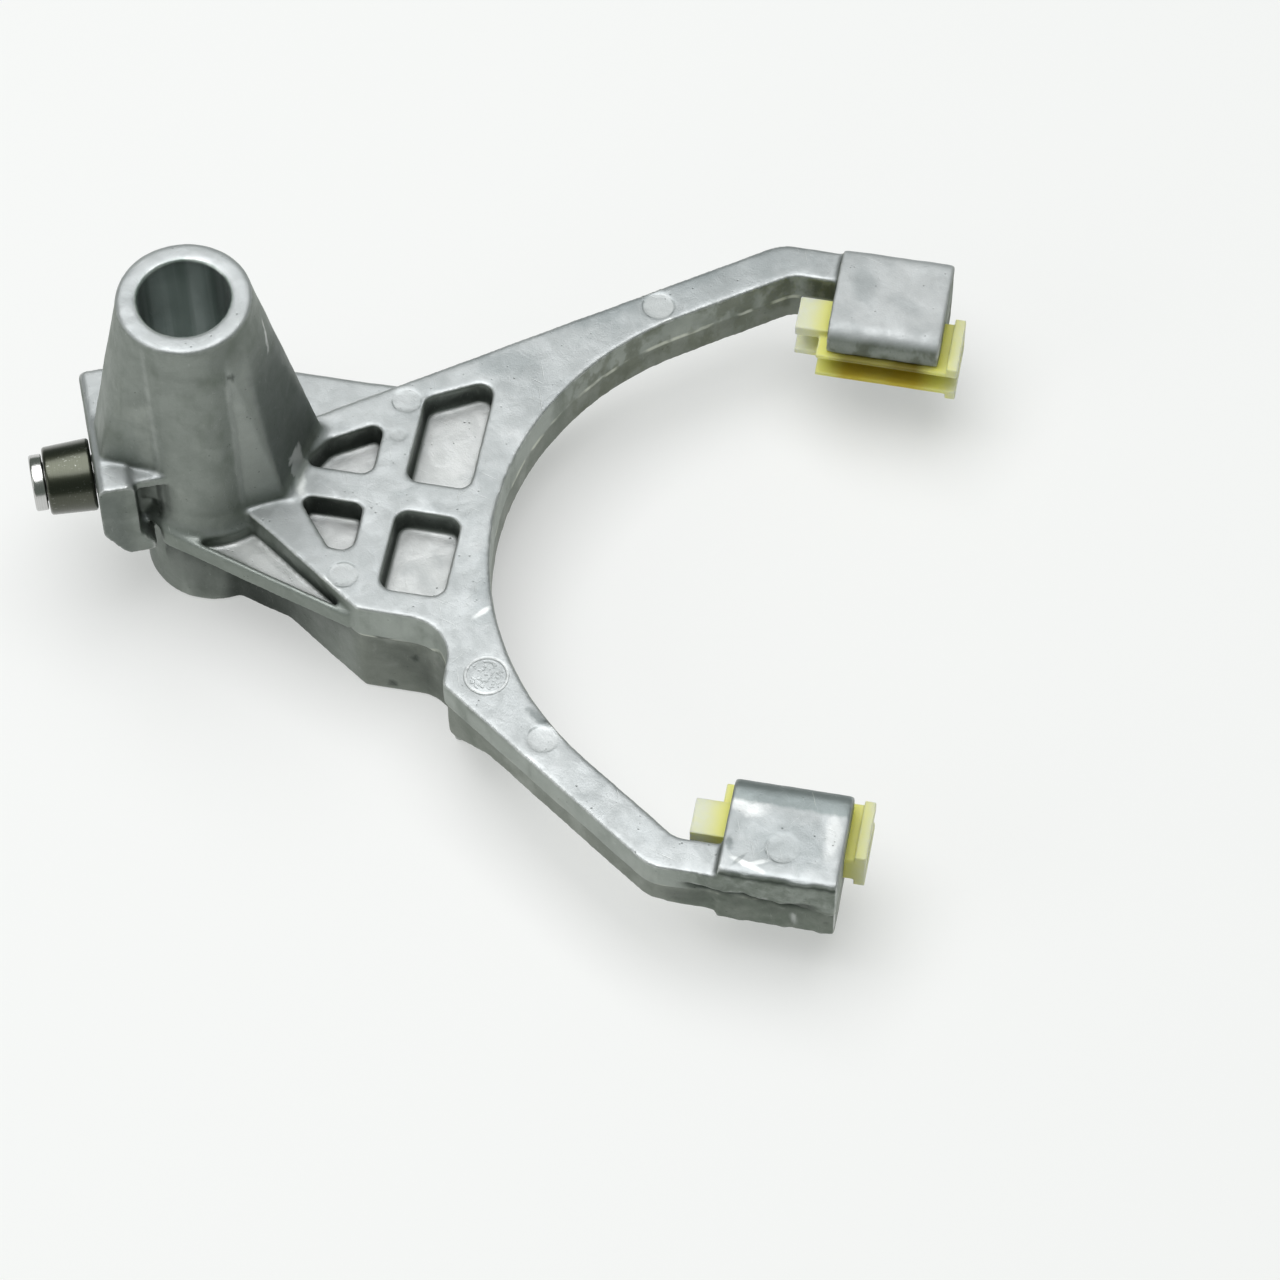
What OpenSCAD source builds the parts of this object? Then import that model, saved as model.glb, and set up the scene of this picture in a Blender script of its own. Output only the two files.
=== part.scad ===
// Transmission shift fork: a die-cast fork on a rail hub, with two slide pads and a cam follower.
// Millimetres. Z runs up the rail bore from the hub's lower face, X points to the prongs,
// +Y is the far prong and -Y is the near prong, beside which the web is notched.

/* [Rail hub] */
// Diameter of the rail bore
bore_d = 16; // [14:0.5:17]
// Wall of the hub round the bore
hub_wall = 4; // [3.5:0.5:5]
// Length of the hub
hub_h = 77; // [72:1:84]

/* [Fork] */
// Distance from the rail axis to the centre of the mouth
reach = 112; // [110:0.5:114]
// Radius of the mouth
mouth_r = 58.5; // [57.5:0.5:59.5]
// Slope of the arms to the centre line
arm_slope = 35; // [34:0.5:36]
// Width of an arm
arm_w = 7.5; // [6.5:0.5:8.5]
// Thickness of the arms
arm_t = 12.5; // [11:0.5:13.5]
// Height of the arms' upper face above the hub's lower face
arm_top = 26.5; // [25:0.5:29]
// Width of the root left between the mouth and the deep web
root_w = 6; // [5:0.5:7]

/* [Web] */
// Half width of the web where it is notched
notch_y = 25.5; // [24.5:0.5:26.5]
// Length of the notch along the centre line
notch_l = 18; // [16:0.5:20]
// Step of the walls at the parting line between the die halves
part_step = 0.6; // [0.3:0.1:1]
// Depth of the lightening pockets
pocket_depth = 5.5; // [3:0.5:7]
// Width of the ribs between the pockets
rib_w = 6.6; // [5.5:0.1:7.5]
// Drop of the side flanges below the arms' upper face
flange_drop = 3; // [2:0.5:4]
// Width of the rim round the recessed side flange
rim_w = 1.2; // [1:0.1:2.4]
// Depth of the recess in the near side flange
recess_depth = 2.6; // [1.5:0.1:3]

/* [Prongs] */
// Length of a prong block along the centre line
block_l = 20.8; // [18:0.2:22]
// Width of a prong block
block_w = 20.4; // [18:0.2:22]
// Height of a prong block
block_h = 16.5; // [15.5:0.1:17.5]
// Rise of a prong block above the arms' upper face
block_rise = 2; // [1:0.5:3]
// Height of the slot that holds a slide pad
slot_h = 6.4; // [6:0.1:7]
// Depth of the slot that holds a slide pad
slot_depth = 11; // [9:0.5:12]

/* [Slide pads] */
// Wall of a slide pad
pad_wall = 1; // [0.7:0.1:1.2]
// Gap between a pad and its slot
pad_fit = 0.05; // [0.02:0.01:0.1]
// Height of a pad's end flange
pad_flange_h = 9.2; // [8.4:0.1:10]
// Length of the locking tab at the arm's end of a pad
pad_tab_l = 6.2; // [3:0.2:7]

/* [Cam follower] */
// Swing of the follower pin from the centre line
pin_swing = 21.5; // [18:0.5:25]
// Diameter of the follower pin
pin_d = 7; // [5:0.5:7.5]
// Height of the pin's axis above the arms' upper face
pin_rise = 2.5; // [1.5:0.5:5]
// Distance from the rail axis to the outer face of the follower boss
boss_face = 20; // [19.6:0.2:23]
// Width of the follower boss
boss_w = 27; // [22:0.5:28]
// Diameter of the roller at the boss
roller_d = 13.2; // [12:0.2:15]
// Loss of diameter over the roller's length
roller_taper = 0.9; // [0:0.1:2]
// Length of the roller
roller_l = 8.6; // [7:0.2:10]
// Radial clearance of the roller on its pin
roller_clear = 0.05; // [0.02:0.01:0.09]
// End clearance of the roller
roller_float = 0.2; // [0.1:0.05:0.4]

/* [Hidden] */

// Fineness of true rounds and of the arcs in an outline
round_fn = 96;
hull_fn = 32;
arc_steps = 8;
// Overlap that joins solids and clears cut faces
eps = 0.5;

// Hub
bore_r = bore_d / 2;
hub_r = bore_r + hub_wall;
hub_draft = 0.4;
bore_chamfer = 0.35;
hub_edge_r = 0.8;

// Arms, in the mouth's own frame: each edge is a line tangent to a circle about the mouth
arm_bottom = arm_top - arm_t;
outer_r = mouth_r + arm_w;
prong_step = 2.5;
prong_in = mouth_r + prong_step;
prong_out = prong_in + arm_w - 0.7;
bend_r = 8;
root_r = mouth_r + root_w;
arm_part_z = arm_top - arm_t / 2;
web_part_z = arm_top - arm_t * 0.7;

// Height of an arm's outer edge line over the centre line, at x from the rail axis
function edge_y(x) = (x - reach) * tan(arm_slope) + outer_r / cos(arm_slope);
// Place from the rail axis where the line tangent to radius r reaches height y
function edge_x(r, y) = reach + (y - r / cos(arm_slope)) / tan(arm_slope);

// Web and notch
notch_x = edge_x(outer_r, notch_y);
notch_end = notch_x + notch_l;
notch_r = 8;
corner_r = 2;
web_x = hub_r * 0.6;
throat_x = hub_r + 5;
throat_r = 6;
heel_l = 11;
heel_drop = 4;

// Side flanges: the near one runs to the hub's front and is recessed, the far one is wider and plain
flange_top = arm_top - flange_drop;
flange_floor = flange_top - recess_depth;
flange_bottom = flange_floor - 1.8;
near_heel = [-hub_r * 0.5, -hub_r - 1.4];
far_heel = [hub_r * 0.75, notch_y - 0.3];
heel_r = 2.2;

// Collar at the hub's foot: its width at the flanges, the land round it, and the rise of its hollow flare
collar_w = 2.1;
collar_land = 0.2;
collar_rise = 6;

// Lightening pockets, measured from the rail axis
pocket_end = reach - root_r + 0.4;
pocket_mid = pocket_end - 11.8;
small_end = pocket_mid - rib_w * 0.95;
small_start = hub_r + 5.6;
pocket_r = 2.4;

// Gusset toward the web and gusset toward the follower: a side wall leaves the hub at gusset_side
gusset_x = hub_r + 3.6;
gusset_near = -hub_r * 0.38;
gusset_far = hub_r;
gusset_t = 2;
gusset_turn = 11;
gusset_side = 44;
gusset_fillet = 2.6;
gusset_top = hub_h - hub_edge_r;

// Follower boss, along the pin's own axis
pin_z = arm_top + pin_rise;
boss_t = 6.6;
boss_h = 20.6;
boss_edge_r = 1.5;
boss_shift = -2;
boss_lean = 3.6;
lean_start = pin_d / 2 + 0.5;
neck_w = pin_d + 6;
neck_h = pin_d + 10;
shelf_t = 2.4;
ridge_w = 8.4;
ridge_set = 1.4;
pin_wall = 1.6;
pin_root = bore_r + pin_wall;
roller_start = boss_face + roller_float;
roller_end = roller_start + roller_l;
roller_edge = 0.6;
head_d = 10.2;
head_t = 2.3;
head_edge = 0.5;

// Prong blocks: each is centred a little ahead of the mouth's centre
block_ahead = 4;
block_x = reach + block_ahead;
block_out = prong_out;
block_in = block_out - block_w;
block_top = arm_top + block_rise;
block_bottom = block_top - block_h;
block_edge_r = 1.4;
block_nose_r = 3.5;
slot_edge_r = 0.6;
lip_t = 4.2;
lip_set = 2;
slot_z = block_bottom + lip_t;
slot_back = block_in + slot_depth;

// Slide pads
pad_proud = 0.8;
pad_h = slot_h - 2 * pad_fit;
pad_z = slot_z + slot_h / 2;
pad_back = slot_back - pad_fit;
pad_front = block_in - pad_proud;
pad_gap = pad_h - 2 * pad_wall;
pad_neck = 1.6;
pad_flange_t = 2;
pad_clear = 0.15;
tab_front = pad_front + 4.6;
tab_drop = 1;

// Ejector-pin marks on the upper faces as [x, y, z, radius], and a plain ring mark
mark_depth = 0.25;
ejector_marks = [
    [small_end + rib_w / 2, 20.3, arm_top, 2.6],
    [small_end + rib_w / 2, 12.6, arm_top, 1.4],
    [small_end, -18.8, arm_top, 2.6],
    [reach - 38, 49.6, arm_top, 2.9],
    [reach - 41, -46, arm_top, 2.7],
    [block_x, -block_out + 6.2, block_top, 2.3],
];
ring_mark = [reach - 53.2, -35, arm_top];
ring_mark_r = 4;
ring_mark_w = 0.5;

// Unit vector along v
function unit(v) = v / norm(v);

// Points of the arc that rounds vertex q, which is [x, y, radius], between p and n
function arc_at(p, q, n) =
    let (
        here = [q.x, q.y],
        back = unit([p.x, p.y] - here),
        on = unit([n.x, n.y] - here),
        half = acos(back * on) / 2,
        centre = here + unit(back + on) * q.z / sin(half),
        from = here + back * q.z / tan(half) - centre,
        to = here + on * q.z / tan(half) - centre,
        start = atan2(from.y, from.x),
        turn = (atan2(to.y, to.x) - start + 540) % 360 - 180
    )
    [
        for (i = [0:arc_steps])
            let (angle = start + turn * i / arc_steps)
            centre + q.z * [cos(angle), sin(angle)]
    ];

// Outline of a polygon whose vertices carry their own corner radius
function rounded(pts) =
    let (count = len(pts))
    [
        for (i = [0:count - 1])
            each pts[i].z == 0
                ? [[pts[i].x, pts[i].y]]
                : arc_at(pts[(i + count - 1) % count], pts[i], pts[(i + 1) % count])
    ];

// Prism over a rounded outline, from z0 to z1
module prism(pts, z0, z1) {
    translate([0, 0, z0])
        linear_extrude(z1 - z0)
            polygon(rounded(pts));
}

// Frame whose Z axis is the follower pin's axis, outward from the rail axis
module along_pin() {
    translate([0, 0, pin_z])
        rotate([0, 0, 180 + pin_swing])
            rotate([0, 90, 0])
                children();
}

// Frame of one prong: an outline in (distance from the centre line, height) runs along X
module along_prong(side, x0, x1) {
    mirror([0, side < 0 ? 1 : 0, 0])
        translate([x0, 0, 0])
            rotate([90, 0, 90])
                linear_extrude(x1 - x0)
                    children();
}

// Fork casting, in its own pieces

module hub_solid() {
    rotate_extrude($fn = round_fn)
        polygon(rounded([
            [0, 0, 0],
            [hub_r + hub_draft, 0, hub_edge_r],
            [hub_r, hub_h, hub_edge_r],
            [0, hub_h, 0],
        ]));
}

// Collar at the hub's foot, flared up the hub from the level of the flanges
module hub_foot() {
    flare_r = (collar_rise * collar_rise + collar_w * collar_w) / (2 * collar_w);
    translate([0, 0, flange_top])
        rotate_extrude($fn = round_fn)
            difference() {
                translate([hub_r - eps, -eps])
                    square([collar_w + eps, collar_rise + eps]);
                translate([hub_r + flare_r, collar_rise])
                    circle(r = flare_r, $fn = round_fn);
            }
}

// Near edge of the web at the hub: straight in the plate, flared in a throat where the web is deep
function near_start(drop, deep) =
    deep
        ? [[0, bore_r / 2 - hub_r, 0], [throat_x, drop - edge_y(throat_x), throat_r]]
        : [[0, drop - edge_y(0), 0]];

// Upper plate: both arms, the root and the notched web, with the walls stepped in by inset
function plate_outline(inset, deep = false) =
    let (
        edge_r = outer_r - inset,
        out_y = prong_out - inset,
        side_y = notch_y - inset,
        end_x = notch_end + inset,
        drop = inset / cos(arm_slope)
    )
    concat(near_start(drop, deep), [
        [edge_x(edge_r, side_y), -side_y, corner_r],
        [end_x - 0.6, -side_y, notch_r],
        [end_x, drop - edge_y(end_x), corner_r],
        [edge_x(edge_r, out_y), -out_y, bend_r],
        [block_x, -out_y, 0],
        [block_x, out_y, 0],
        [edge_x(edge_r, out_y), out_y, bend_r],
        [web_x, edge_y(web_x) - drop, 0],
    ]);

// Limit of the deep web within the plate's outline: the root, and the far side
function web_limit() = [
    [0, -notch_y - notch_r, 0],
    [notch_end + root_w, -notch_y - notch_r, 0],
    [notch_end + root_w, notch_y - 2 * part_step, 0],
    [notch_x, notch_y - 2 * part_step, corner_r],
    [throat_x, edge_y(throat_x) - 2 * part_step, throat_r],
    [0, hub_r - bore_r / 2, 0],
];

// Mouth between the prongs, with the straight inner edges of the arms
function mouth_outline() = [
    [reach - mouth_r * sin(arm_slope), mouth_r * cos(arm_slope), 0],
    [edge_x(mouth_r, prong_in), prong_in, bend_r * 0.6],
    [block_x + block_l, prong_in, 0],
    [block_x + block_l, -prong_in, 0],
    [edge_x(mouth_r, prong_in), -prong_in, bend_r * 0.6],
    [reach - mouth_r * sin(arm_slope), -mouth_r * cos(arm_slope), 0],
];

// Thicker start of the near arm, whose underside slopes up to the arm
module arm_heel() {
    intersection() {
        prism(plate_outline(part_step), arm_bottom - heel_drop, arm_bottom + eps);
        translate([notch_end - eps, -edge_y(notch_end), 0])
            rotate([0, 0, -arm_slope])
                translate([-heel_l / 2, 0, 0])
                    rotate([90, 0, 0])
                        translate([0, 0, -heel_l])
                            linear_extrude(2 * heel_l)
                                polygon([
                                    [0, arm_bottom + eps],
                                    [0, arm_bottom - heel_drop],
                                    [heel_l * 0.75, arm_bottom - heel_drop],
                                    [heel_l * 1.6, arm_bottom + eps],
                                ]);
    }
}

// Deep web under the plate, with the walls stepped in by inset
module deep_web(inset, z0, z1) {
    intersection() {
        prism(plate_outline(inset, true), z0, z1);
        prism(web_limit(), z0 - eps, z1 + eps);
    }
}

module fork_body() {
    difference() {
        union() {
            prism(plate_outline(0), arm_part_z, arm_top);
            prism(plate_outline(part_step), arm_bottom, arm_part_z + eps);
            arm_heel();
            deep_web(0, web_part_z, arm_part_z + eps);
            difference() {
                deep_web(part_step, 0, web_part_z + eps);
                translate([reach, 0, -eps])
                    cylinder(r = root_r, h = arm_bottom + eps, $fn = round_fn);
            }
        }
        translate([reach, 0, -eps])
            cylinder(r = mouth_r, h = arm_top + 2 * eps, $fn = round_fn);
        prism(mouth_outline(), -eps, arm_top + eps);
    }
}

// Triangular flange between the hub and the web's corner; a recessed one has a rim outside the collar
module side_flange(side, heel, recessed) {
    tip = [notch_x - 1.5, side * notch_y];
    run = unit(tip - heel);
    inset = side * [run.y, -run.x] * rim_w;
    difference() {
        prism([
            [web_x - hub_r, 0, 0],
            [heel.x, heel.y, heel_r],
            [tip.x, tip.y, corner_r / 2],
            [notch_x, side * (notch_y - corner_r), 0],
            [web_x, 0, 0],
        ], flange_bottom, flange_top);
        if (recessed)
            difference() {
                prism([
                    [web_x - hub_r, 0, 0],
                    [heel.x + inset.x, heel.y + inset.y, corner_r / 2],
                    [tip.x - run.x * rim_w + inset.x, tip.y - run.y * rim_w + inset.y, 0],
                    [web_x, 0, 0],
                ], flange_floor, flange_top + eps);
                cylinder(r = hub_r + collar_w + collar_land, h = hub_h, $fn = round_fn);
            }
    }
}

// Sloping gusset from the hub's top down to the web, with a plane side wall and a hollow foot
module web_gusset() {
    width = gusset_far - gusset_near;
    intersection() {
        hull() {
            translate([0, 0, flange_floor])
                cylinder(r = hub_r - 0.1, h = gusset_top - flange_floor, $fn = hull_fn);
            translate([gusset_x, gusset_near, arm_bottom])
                rotate([0, 0, -gusset_turn])
                    translate([-gusset_t, 0, 0])
                        cube([gusset_t, width, arm_t + eps]);
        }
        linear_extrude(hub_h)
            polygon([
                [0, -hub_r],
                hub_r * [cos(gusset_side), -sin(gusset_side)],
                [gusset_x, gusset_near],
                [gusset_x + hub_r, gusset_near],
                [gusset_x + hub_r, hub_r],
                [0, hub_r],
            ]);
    }
    translate([gusset_x, gusset_near, arm_top])
        rotate([0, 0, -gusset_turn])
            difference() {
                translate([-gusset_t / 2, 0, -eps])
                    cube([gusset_t / 2 + gusset_fillet, width - eps, gusset_fillet + eps]);
                translate([gusset_fillet, -eps, gusset_fillet])
                    rotate([-90, 0, 0])
                        cylinder(r = gusset_fillet, h = width + 2 * eps, $fn = round_fn);
            }
}

// Sloping gusset from the hub's top down to the follower boss, with plane side walls
module boss_gusset() {
    ridge_end = boss_face - ridge_set;
    intersection() {
        hull() {
            translate([0, 0, pin_z])
                cylinder(r = hub_r - 0.1, h = gusset_top - pin_z, $fn = hull_fn);
            along_pin()
                translate([-boss_h / 2, -ridge_w / 2, ridge_end - gusset_t])
                    cube([boss_h / 2, ridge_w, gusset_t]);
        }
        rotate([0, 0, 180 + pin_swing])
            linear_extrude(hub_h)
                polygon([
                    [0, -hub_r],
                    hub_r * [cos(gusset_side), -sin(gusset_side)],
                    [ridge_end, -ridge_w / 2],
                    [ridge_end, ridge_w / 2],
                    hub_r * [cos(gusset_side), sin(gusset_side)],
                    [0, hub_r],
                ]);
    }
}

// Boss plate that carries the follower pin, with its neck and its upper shelf to the hub
module follower_boss() {
    half_h = boss_h / 2;
    inner = boss_face - boss_t;
    along_pin() {
        translate([0, boss_w / 2 + boss_shift, 0])
            rotate([90, 0, 0])
                linear_extrude(boss_w)
                    polygon(rounded([
                        [-half_h, inner, boss_edge_r],
                        [lean_start, inner, boss_edge_r],
                        [half_h, inner - boss_lean, boss_edge_r],
                        [half_h, boss_face - boss_lean, boss_edge_r],
                        [lean_start, boss_face, boss_edge_r],
                        [-half_h, boss_face, boss_edge_r],
                    ]));
        translate([-neck_h / 2, -neck_w / 2, 0])
            cube([neck_h, neck_w, inner + eps]);
        translate([boss_edge_r / 2 - half_h, boss_shift - boss_w / 2 + boss_edge_r, 0])
            cube([shelf_t, boss_w - 2 * boss_edge_r, inner + eps]);
    }
}

module prong_block(side) {
    along_prong(side, block_x - block_l / 2, block_x + block_l / 2)
        polygon(rounded([
            [block_out, block_bottom, block_edge_r],
            [block_out, block_top, block_edge_r],
            [block_in, block_top, block_nose_r],
            [block_in, slot_z + slot_h, slot_edge_r],
            [slot_back, slot_z + slot_h, slot_edge_r],
            [slot_back, slot_z, slot_edge_r],
            [block_in + lip_set, slot_z, slot_edge_r],
            [block_in + lip_set, block_bottom, block_edge_r / 2],
        ]));
}

// Four blind pockets in the web's upper face
module pockets() {
    rib = rib_w / 2;
    wall = rib_w * 0.8;
    outlines = [
        [
            [pocket_mid, rib, pocket_r],
            [pocket_end, rib, pocket_r],
            [pocket_end, edge_y(pocket_end) - wall * 1.45, pocket_r],
            [pocket_mid, edge_y(pocket_mid) - wall * 1.1, pocket_r],
        ],
        [
            [pocket_mid, -rib, pocket_r],
            [pocket_mid, -notch_y + wall, pocket_r],
            [pocket_end, -notch_y + wall, pocket_r],
            [pocket_end, -rib, pocket_r],
        ],
        [
            [small_start, rib, pocket_r * 0.4],
            [small_end, rib, pocket_r],
            [small_end, edge_y(small_end) - wall * 1.5, pocket_r * 0.7],
            [small_start + 3, rib + 6, pocket_r],
        ],
        [
            [small_start, -rib, pocket_r * 0.6],
            [small_start + 8, -edge_y(small_end) + wall * 1.8, pocket_r],
            [small_end, -edge_y(small_end) + wall * 1.8, pocket_r],
            [small_end, -rib, pocket_r * 0.7],
        ],
    ];
    for (outline = outlines)
        prism(outline, arm_top - pocket_depth, arm_top + gusset_fillet + eps);
}

// Shallow marks left by the ejector pins, and a plain ring mark
module cast_marks() {
    for (mark = ejector_marks)
        translate([mark.x, mark.y, mark.z - mark_depth])
            cylinder(r = mark[3], h = mark_depth + eps, $fn = round_fn);
    translate(ring_mark - [0, 0, mark_depth])
        difference() {
            cylinder(r = ring_mark_r, h = mark_depth + eps, $fn = round_fn);
            translate([0, 0, -eps])
                cylinder(r = ring_mark_r - ring_mark_w, h = mark_depth + 3 * eps, $fn = round_fn);
        }
}

// Rail bore, chamfered at its upper end
module rail_bore() {
    translate([0, 0, -eps])
        cylinder(r = bore_r, h = hub_h + 2 * eps, $fn = round_fn);
    translate([0, 0, hub_h - bore_chamfer])
        cylinder(r1 = bore_r, r2 = bore_r + bore_chamfer + eps, h = bore_chamfer + eps, $fn = round_fn);
}

module fork_casting() {
    color("silver")
        difference() {
            union() {
                hub_solid();
                hub_foot();
                fork_body();
                side_flange(-1, near_heel, true);
                side_flange(1, far_heel, false);
                web_gusset();
                boss_gusset();
                follower_boss();
                prong_block(1);
                prong_block(-1);
            }
            pockets();
            cast_marks();
            rail_bore();
            along_pin()
                translate([0, 0, pin_root])
                    cylinder(d = pin_d, h = boss_face, $fn = round_fn);
        }
}

// Slide pad: a channel that lines the slot, held by a flange at one end and a tab at the other
module slide_pad(side) {
    arm_end = block_x - block_l / 2 - pad_clear;
    free_end = block_x + block_l / 2 + pad_clear;
    flange_x = free_end + pad_neck;
    color("khaki")
        difference() {
            union() {
                along_prong(side, arm_end - pad_neck, flange_x + pad_flange_t)
                    polygon(rounded([
                        [pad_front, pad_z - pad_h / 2, 0],
                        [pad_back, pad_z - pad_h / 2, slot_edge_r],
                        [pad_back, pad_z + pad_h / 2, slot_edge_r],
                        [pad_front, pad_z + pad_h / 2, 0],
                    ]));
                along_prong(side, flange_x, flange_x + pad_flange_t)
                    translate([pad_front, pad_z - pad_flange_h / 2])
                        square([pad_back - pad_front, pad_flange_h]);
                along_prong(side, arm_end - pad_tab_l, arm_end)
                    translate([tab_front, pad_z - pad_flange_h / 2 + tab_drop])
                        square([pad_back - tab_front, pad_flange_h - tab_drop]);
            }
            along_prong(side, arm_end - pad_tab_l - eps, flange_x + pad_flange_t + eps)
                translate([pad_front - eps, pad_z - pad_gap / 2])
                    square([pad_back - pad_front - pad_wall + eps, pad_gap]);
        }
}

module left_slide_pad() {
    slide_pad(1);
}

module right_slide_pad() {
    slide_pad(-1);
}

// Headed pin, pressed into the boss
module follower_pin() {
    head_r = head_d / 2;
    pin_r = pin_d / 2;
    head_start = roller_end + roller_float;
    color("gainsboro")
        along_pin()
            rotate_extrude($fn = round_fn)
                polygon(rounded([
                    [0, pin_root + head_edge, 0],
                    [pin_r - head_edge, pin_root + head_edge, 0],
                    [pin_r, pin_root + 2 * head_edge, 0],
                    [pin_r, head_start, 0],
                    [head_r, head_start, head_edge / 2],
                    [head_r, head_start + head_t, head_edge],
                    [0, head_start + head_t, 0],
                ]));
}

// Tapered roller that turns on the pin
module follower_roller() {
    inner_r = pin_d / 2 + roller_clear;
    big_r = roller_d / 2;
    small_r = big_r - roller_taper / 2;
    color("darkkhaki")
        along_pin()
            rotate_extrude($fn = round_fn)
                polygon([
                    [inner_r, roller_start],
                    [big_r - roller_edge, roller_start],
                    [big_r, roller_start + roller_edge],
                    [small_r, roller_end - roller_edge],
                    [small_r - roller_edge, roller_end],
                    [inner_r, roller_end],
                ]);
}

fork_casting();
left_slide_pad();
right_slide_pad();
follower_pin();
follower_roller();
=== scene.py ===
"""Looks of a transmission shift fork: a die-cast fork, two nylon slide pads and a steel cam follower."""

import logging
import math
from collections.abc import Iterable
from dataclasses import dataclass, field
from enum import Enum

import bmesh
import bpy
import numpy as np
from bpy.types import Material, Mesh, Node, NodeSocket, NodeTree, Object
from mathutils import Matrix, Vector
from mathutils.bvhtree import BVHTree
from mathutils.kdtree import KDTree


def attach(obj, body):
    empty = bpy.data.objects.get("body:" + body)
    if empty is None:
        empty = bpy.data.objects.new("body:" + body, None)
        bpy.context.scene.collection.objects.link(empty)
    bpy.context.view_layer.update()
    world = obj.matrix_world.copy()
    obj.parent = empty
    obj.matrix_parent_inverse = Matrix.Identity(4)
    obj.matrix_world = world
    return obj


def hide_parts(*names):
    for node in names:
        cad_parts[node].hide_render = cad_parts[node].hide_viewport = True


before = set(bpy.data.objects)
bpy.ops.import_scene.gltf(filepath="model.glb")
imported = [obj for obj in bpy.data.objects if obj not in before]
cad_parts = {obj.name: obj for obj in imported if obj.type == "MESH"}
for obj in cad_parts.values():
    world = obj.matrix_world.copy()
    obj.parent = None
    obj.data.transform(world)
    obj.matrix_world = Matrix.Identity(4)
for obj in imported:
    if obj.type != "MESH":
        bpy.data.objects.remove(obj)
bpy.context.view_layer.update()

LOG = logging.getLogger("shift_fork")
MM = 0.001

Array = np.ndarray
Colour = tuple[float, float, float]
Point = tuple[float, float, float]
Layers = Iterable[tuple[object, float, object]]


class Prong(Enum):
    """The two prongs, by the side of the centre line that each stands on."""

    FAR = 1
    NEAR = -1


class Body(Enum):
    """The moving bodies that pieces ride on."""

    FORK = "fork"
    ROLLER = "roller"


class LatticeNoise:
    """Smooth gradient noise on a seeded lattice, worked out for a whole array of points at once."""

    CELLS = 256
    GAIN = 1.6
    CORNERS = [(x, y, z) for x in (0, 1) for y in (0, 1) for z in (0, 1)]

    def __init__(self, seed: int) -> None:
        """Sets up the lattice.

        Args:
            seed: number that fixes the pattern.
        """
        rng = np.random.default_rng(seed)
        self.order = rng.permutation(self.CELLS)
        slopes = rng.normal(size=(self.CELLS, 3))
        self.slopes = slopes / np.linalg.norm(slopes, axis=1, keepdims=True)

    def at(self, points: Array, size: float) -> Array:
        """Noise at each point.

        Args:
            points: places, one row each.
            size: distance over which the noise changes, in the same unit.

        Returns:
            One value for each point, from about -1 to 1.
        """
        scaled = points / size
        cell = np.floor(scaled).astype(int)
        rest = scaled - cell
        fade = rest**3 * (rest * (rest * 6 - 15) + 10)
        total = np.zeros(len(points))
        for corner in self.CORNERS:
            step = np.array(corner)
            row = np.zeros(len(points), int)
            for along in (cell + step).T:
                row = self.order[(row + along) % self.CELLS]
            weight = np.where(step == 1, fade, 1 - fade).prod(axis=1)
            total += weight * ((rest - step) * self.slopes[row]).sum(axis=1)
        return total * self.GAIN


def smooth_step(low: float, high: float, values: Array) -> Array:
    """Eased share of the way from low, which gives 0, to high, which gives 1."""
    share = np.clip((values - low) / (high - low), 0, 1)
    return share * share * (3 - 2 * share)


def rise(values: Array, low: float, high: float) -> Array:
    """Eased share of the way from low to high, which are in millimetres."""
    return smooth_step(low * MM, high * MM, values)


def band(values: Array, start: float, full: float, fade: float, end: float) -> Array:
    """Eased share that comes in from start to full and goes out from fade to end, all in millimetres."""
    return rise(values, start, full) * rise(values, end, fade)


def read(items: bpy.types.bpy_prop_collection, key: str, width: int, kind: type = np.float32) -> Array:
    """Reads a list of a mesh.

    Args:
        items: the list, such as the mesh's points.
        key: name of what is read.
        width: how many numbers each item has.
        kind: type of the numbers.

    Returns:
        One row for each item.
    """
    rows = np.zeros(len(items) * width, kind)
    items.foreach_get(key, rows)
    return rows.reshape(-1, width)


def in_scene(name: str, data: bpy.types.ID) -> Object:
    """Makes an object and puts it in the scene.

    Args:
        name: name of the object.
        data: its mesh, lamp or camera.

    Returns:
        The object.
    """
    made = bpy.data.objects.new(name, data)
    bpy.context.scene.collection.objects.link(made)
    return made


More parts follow.
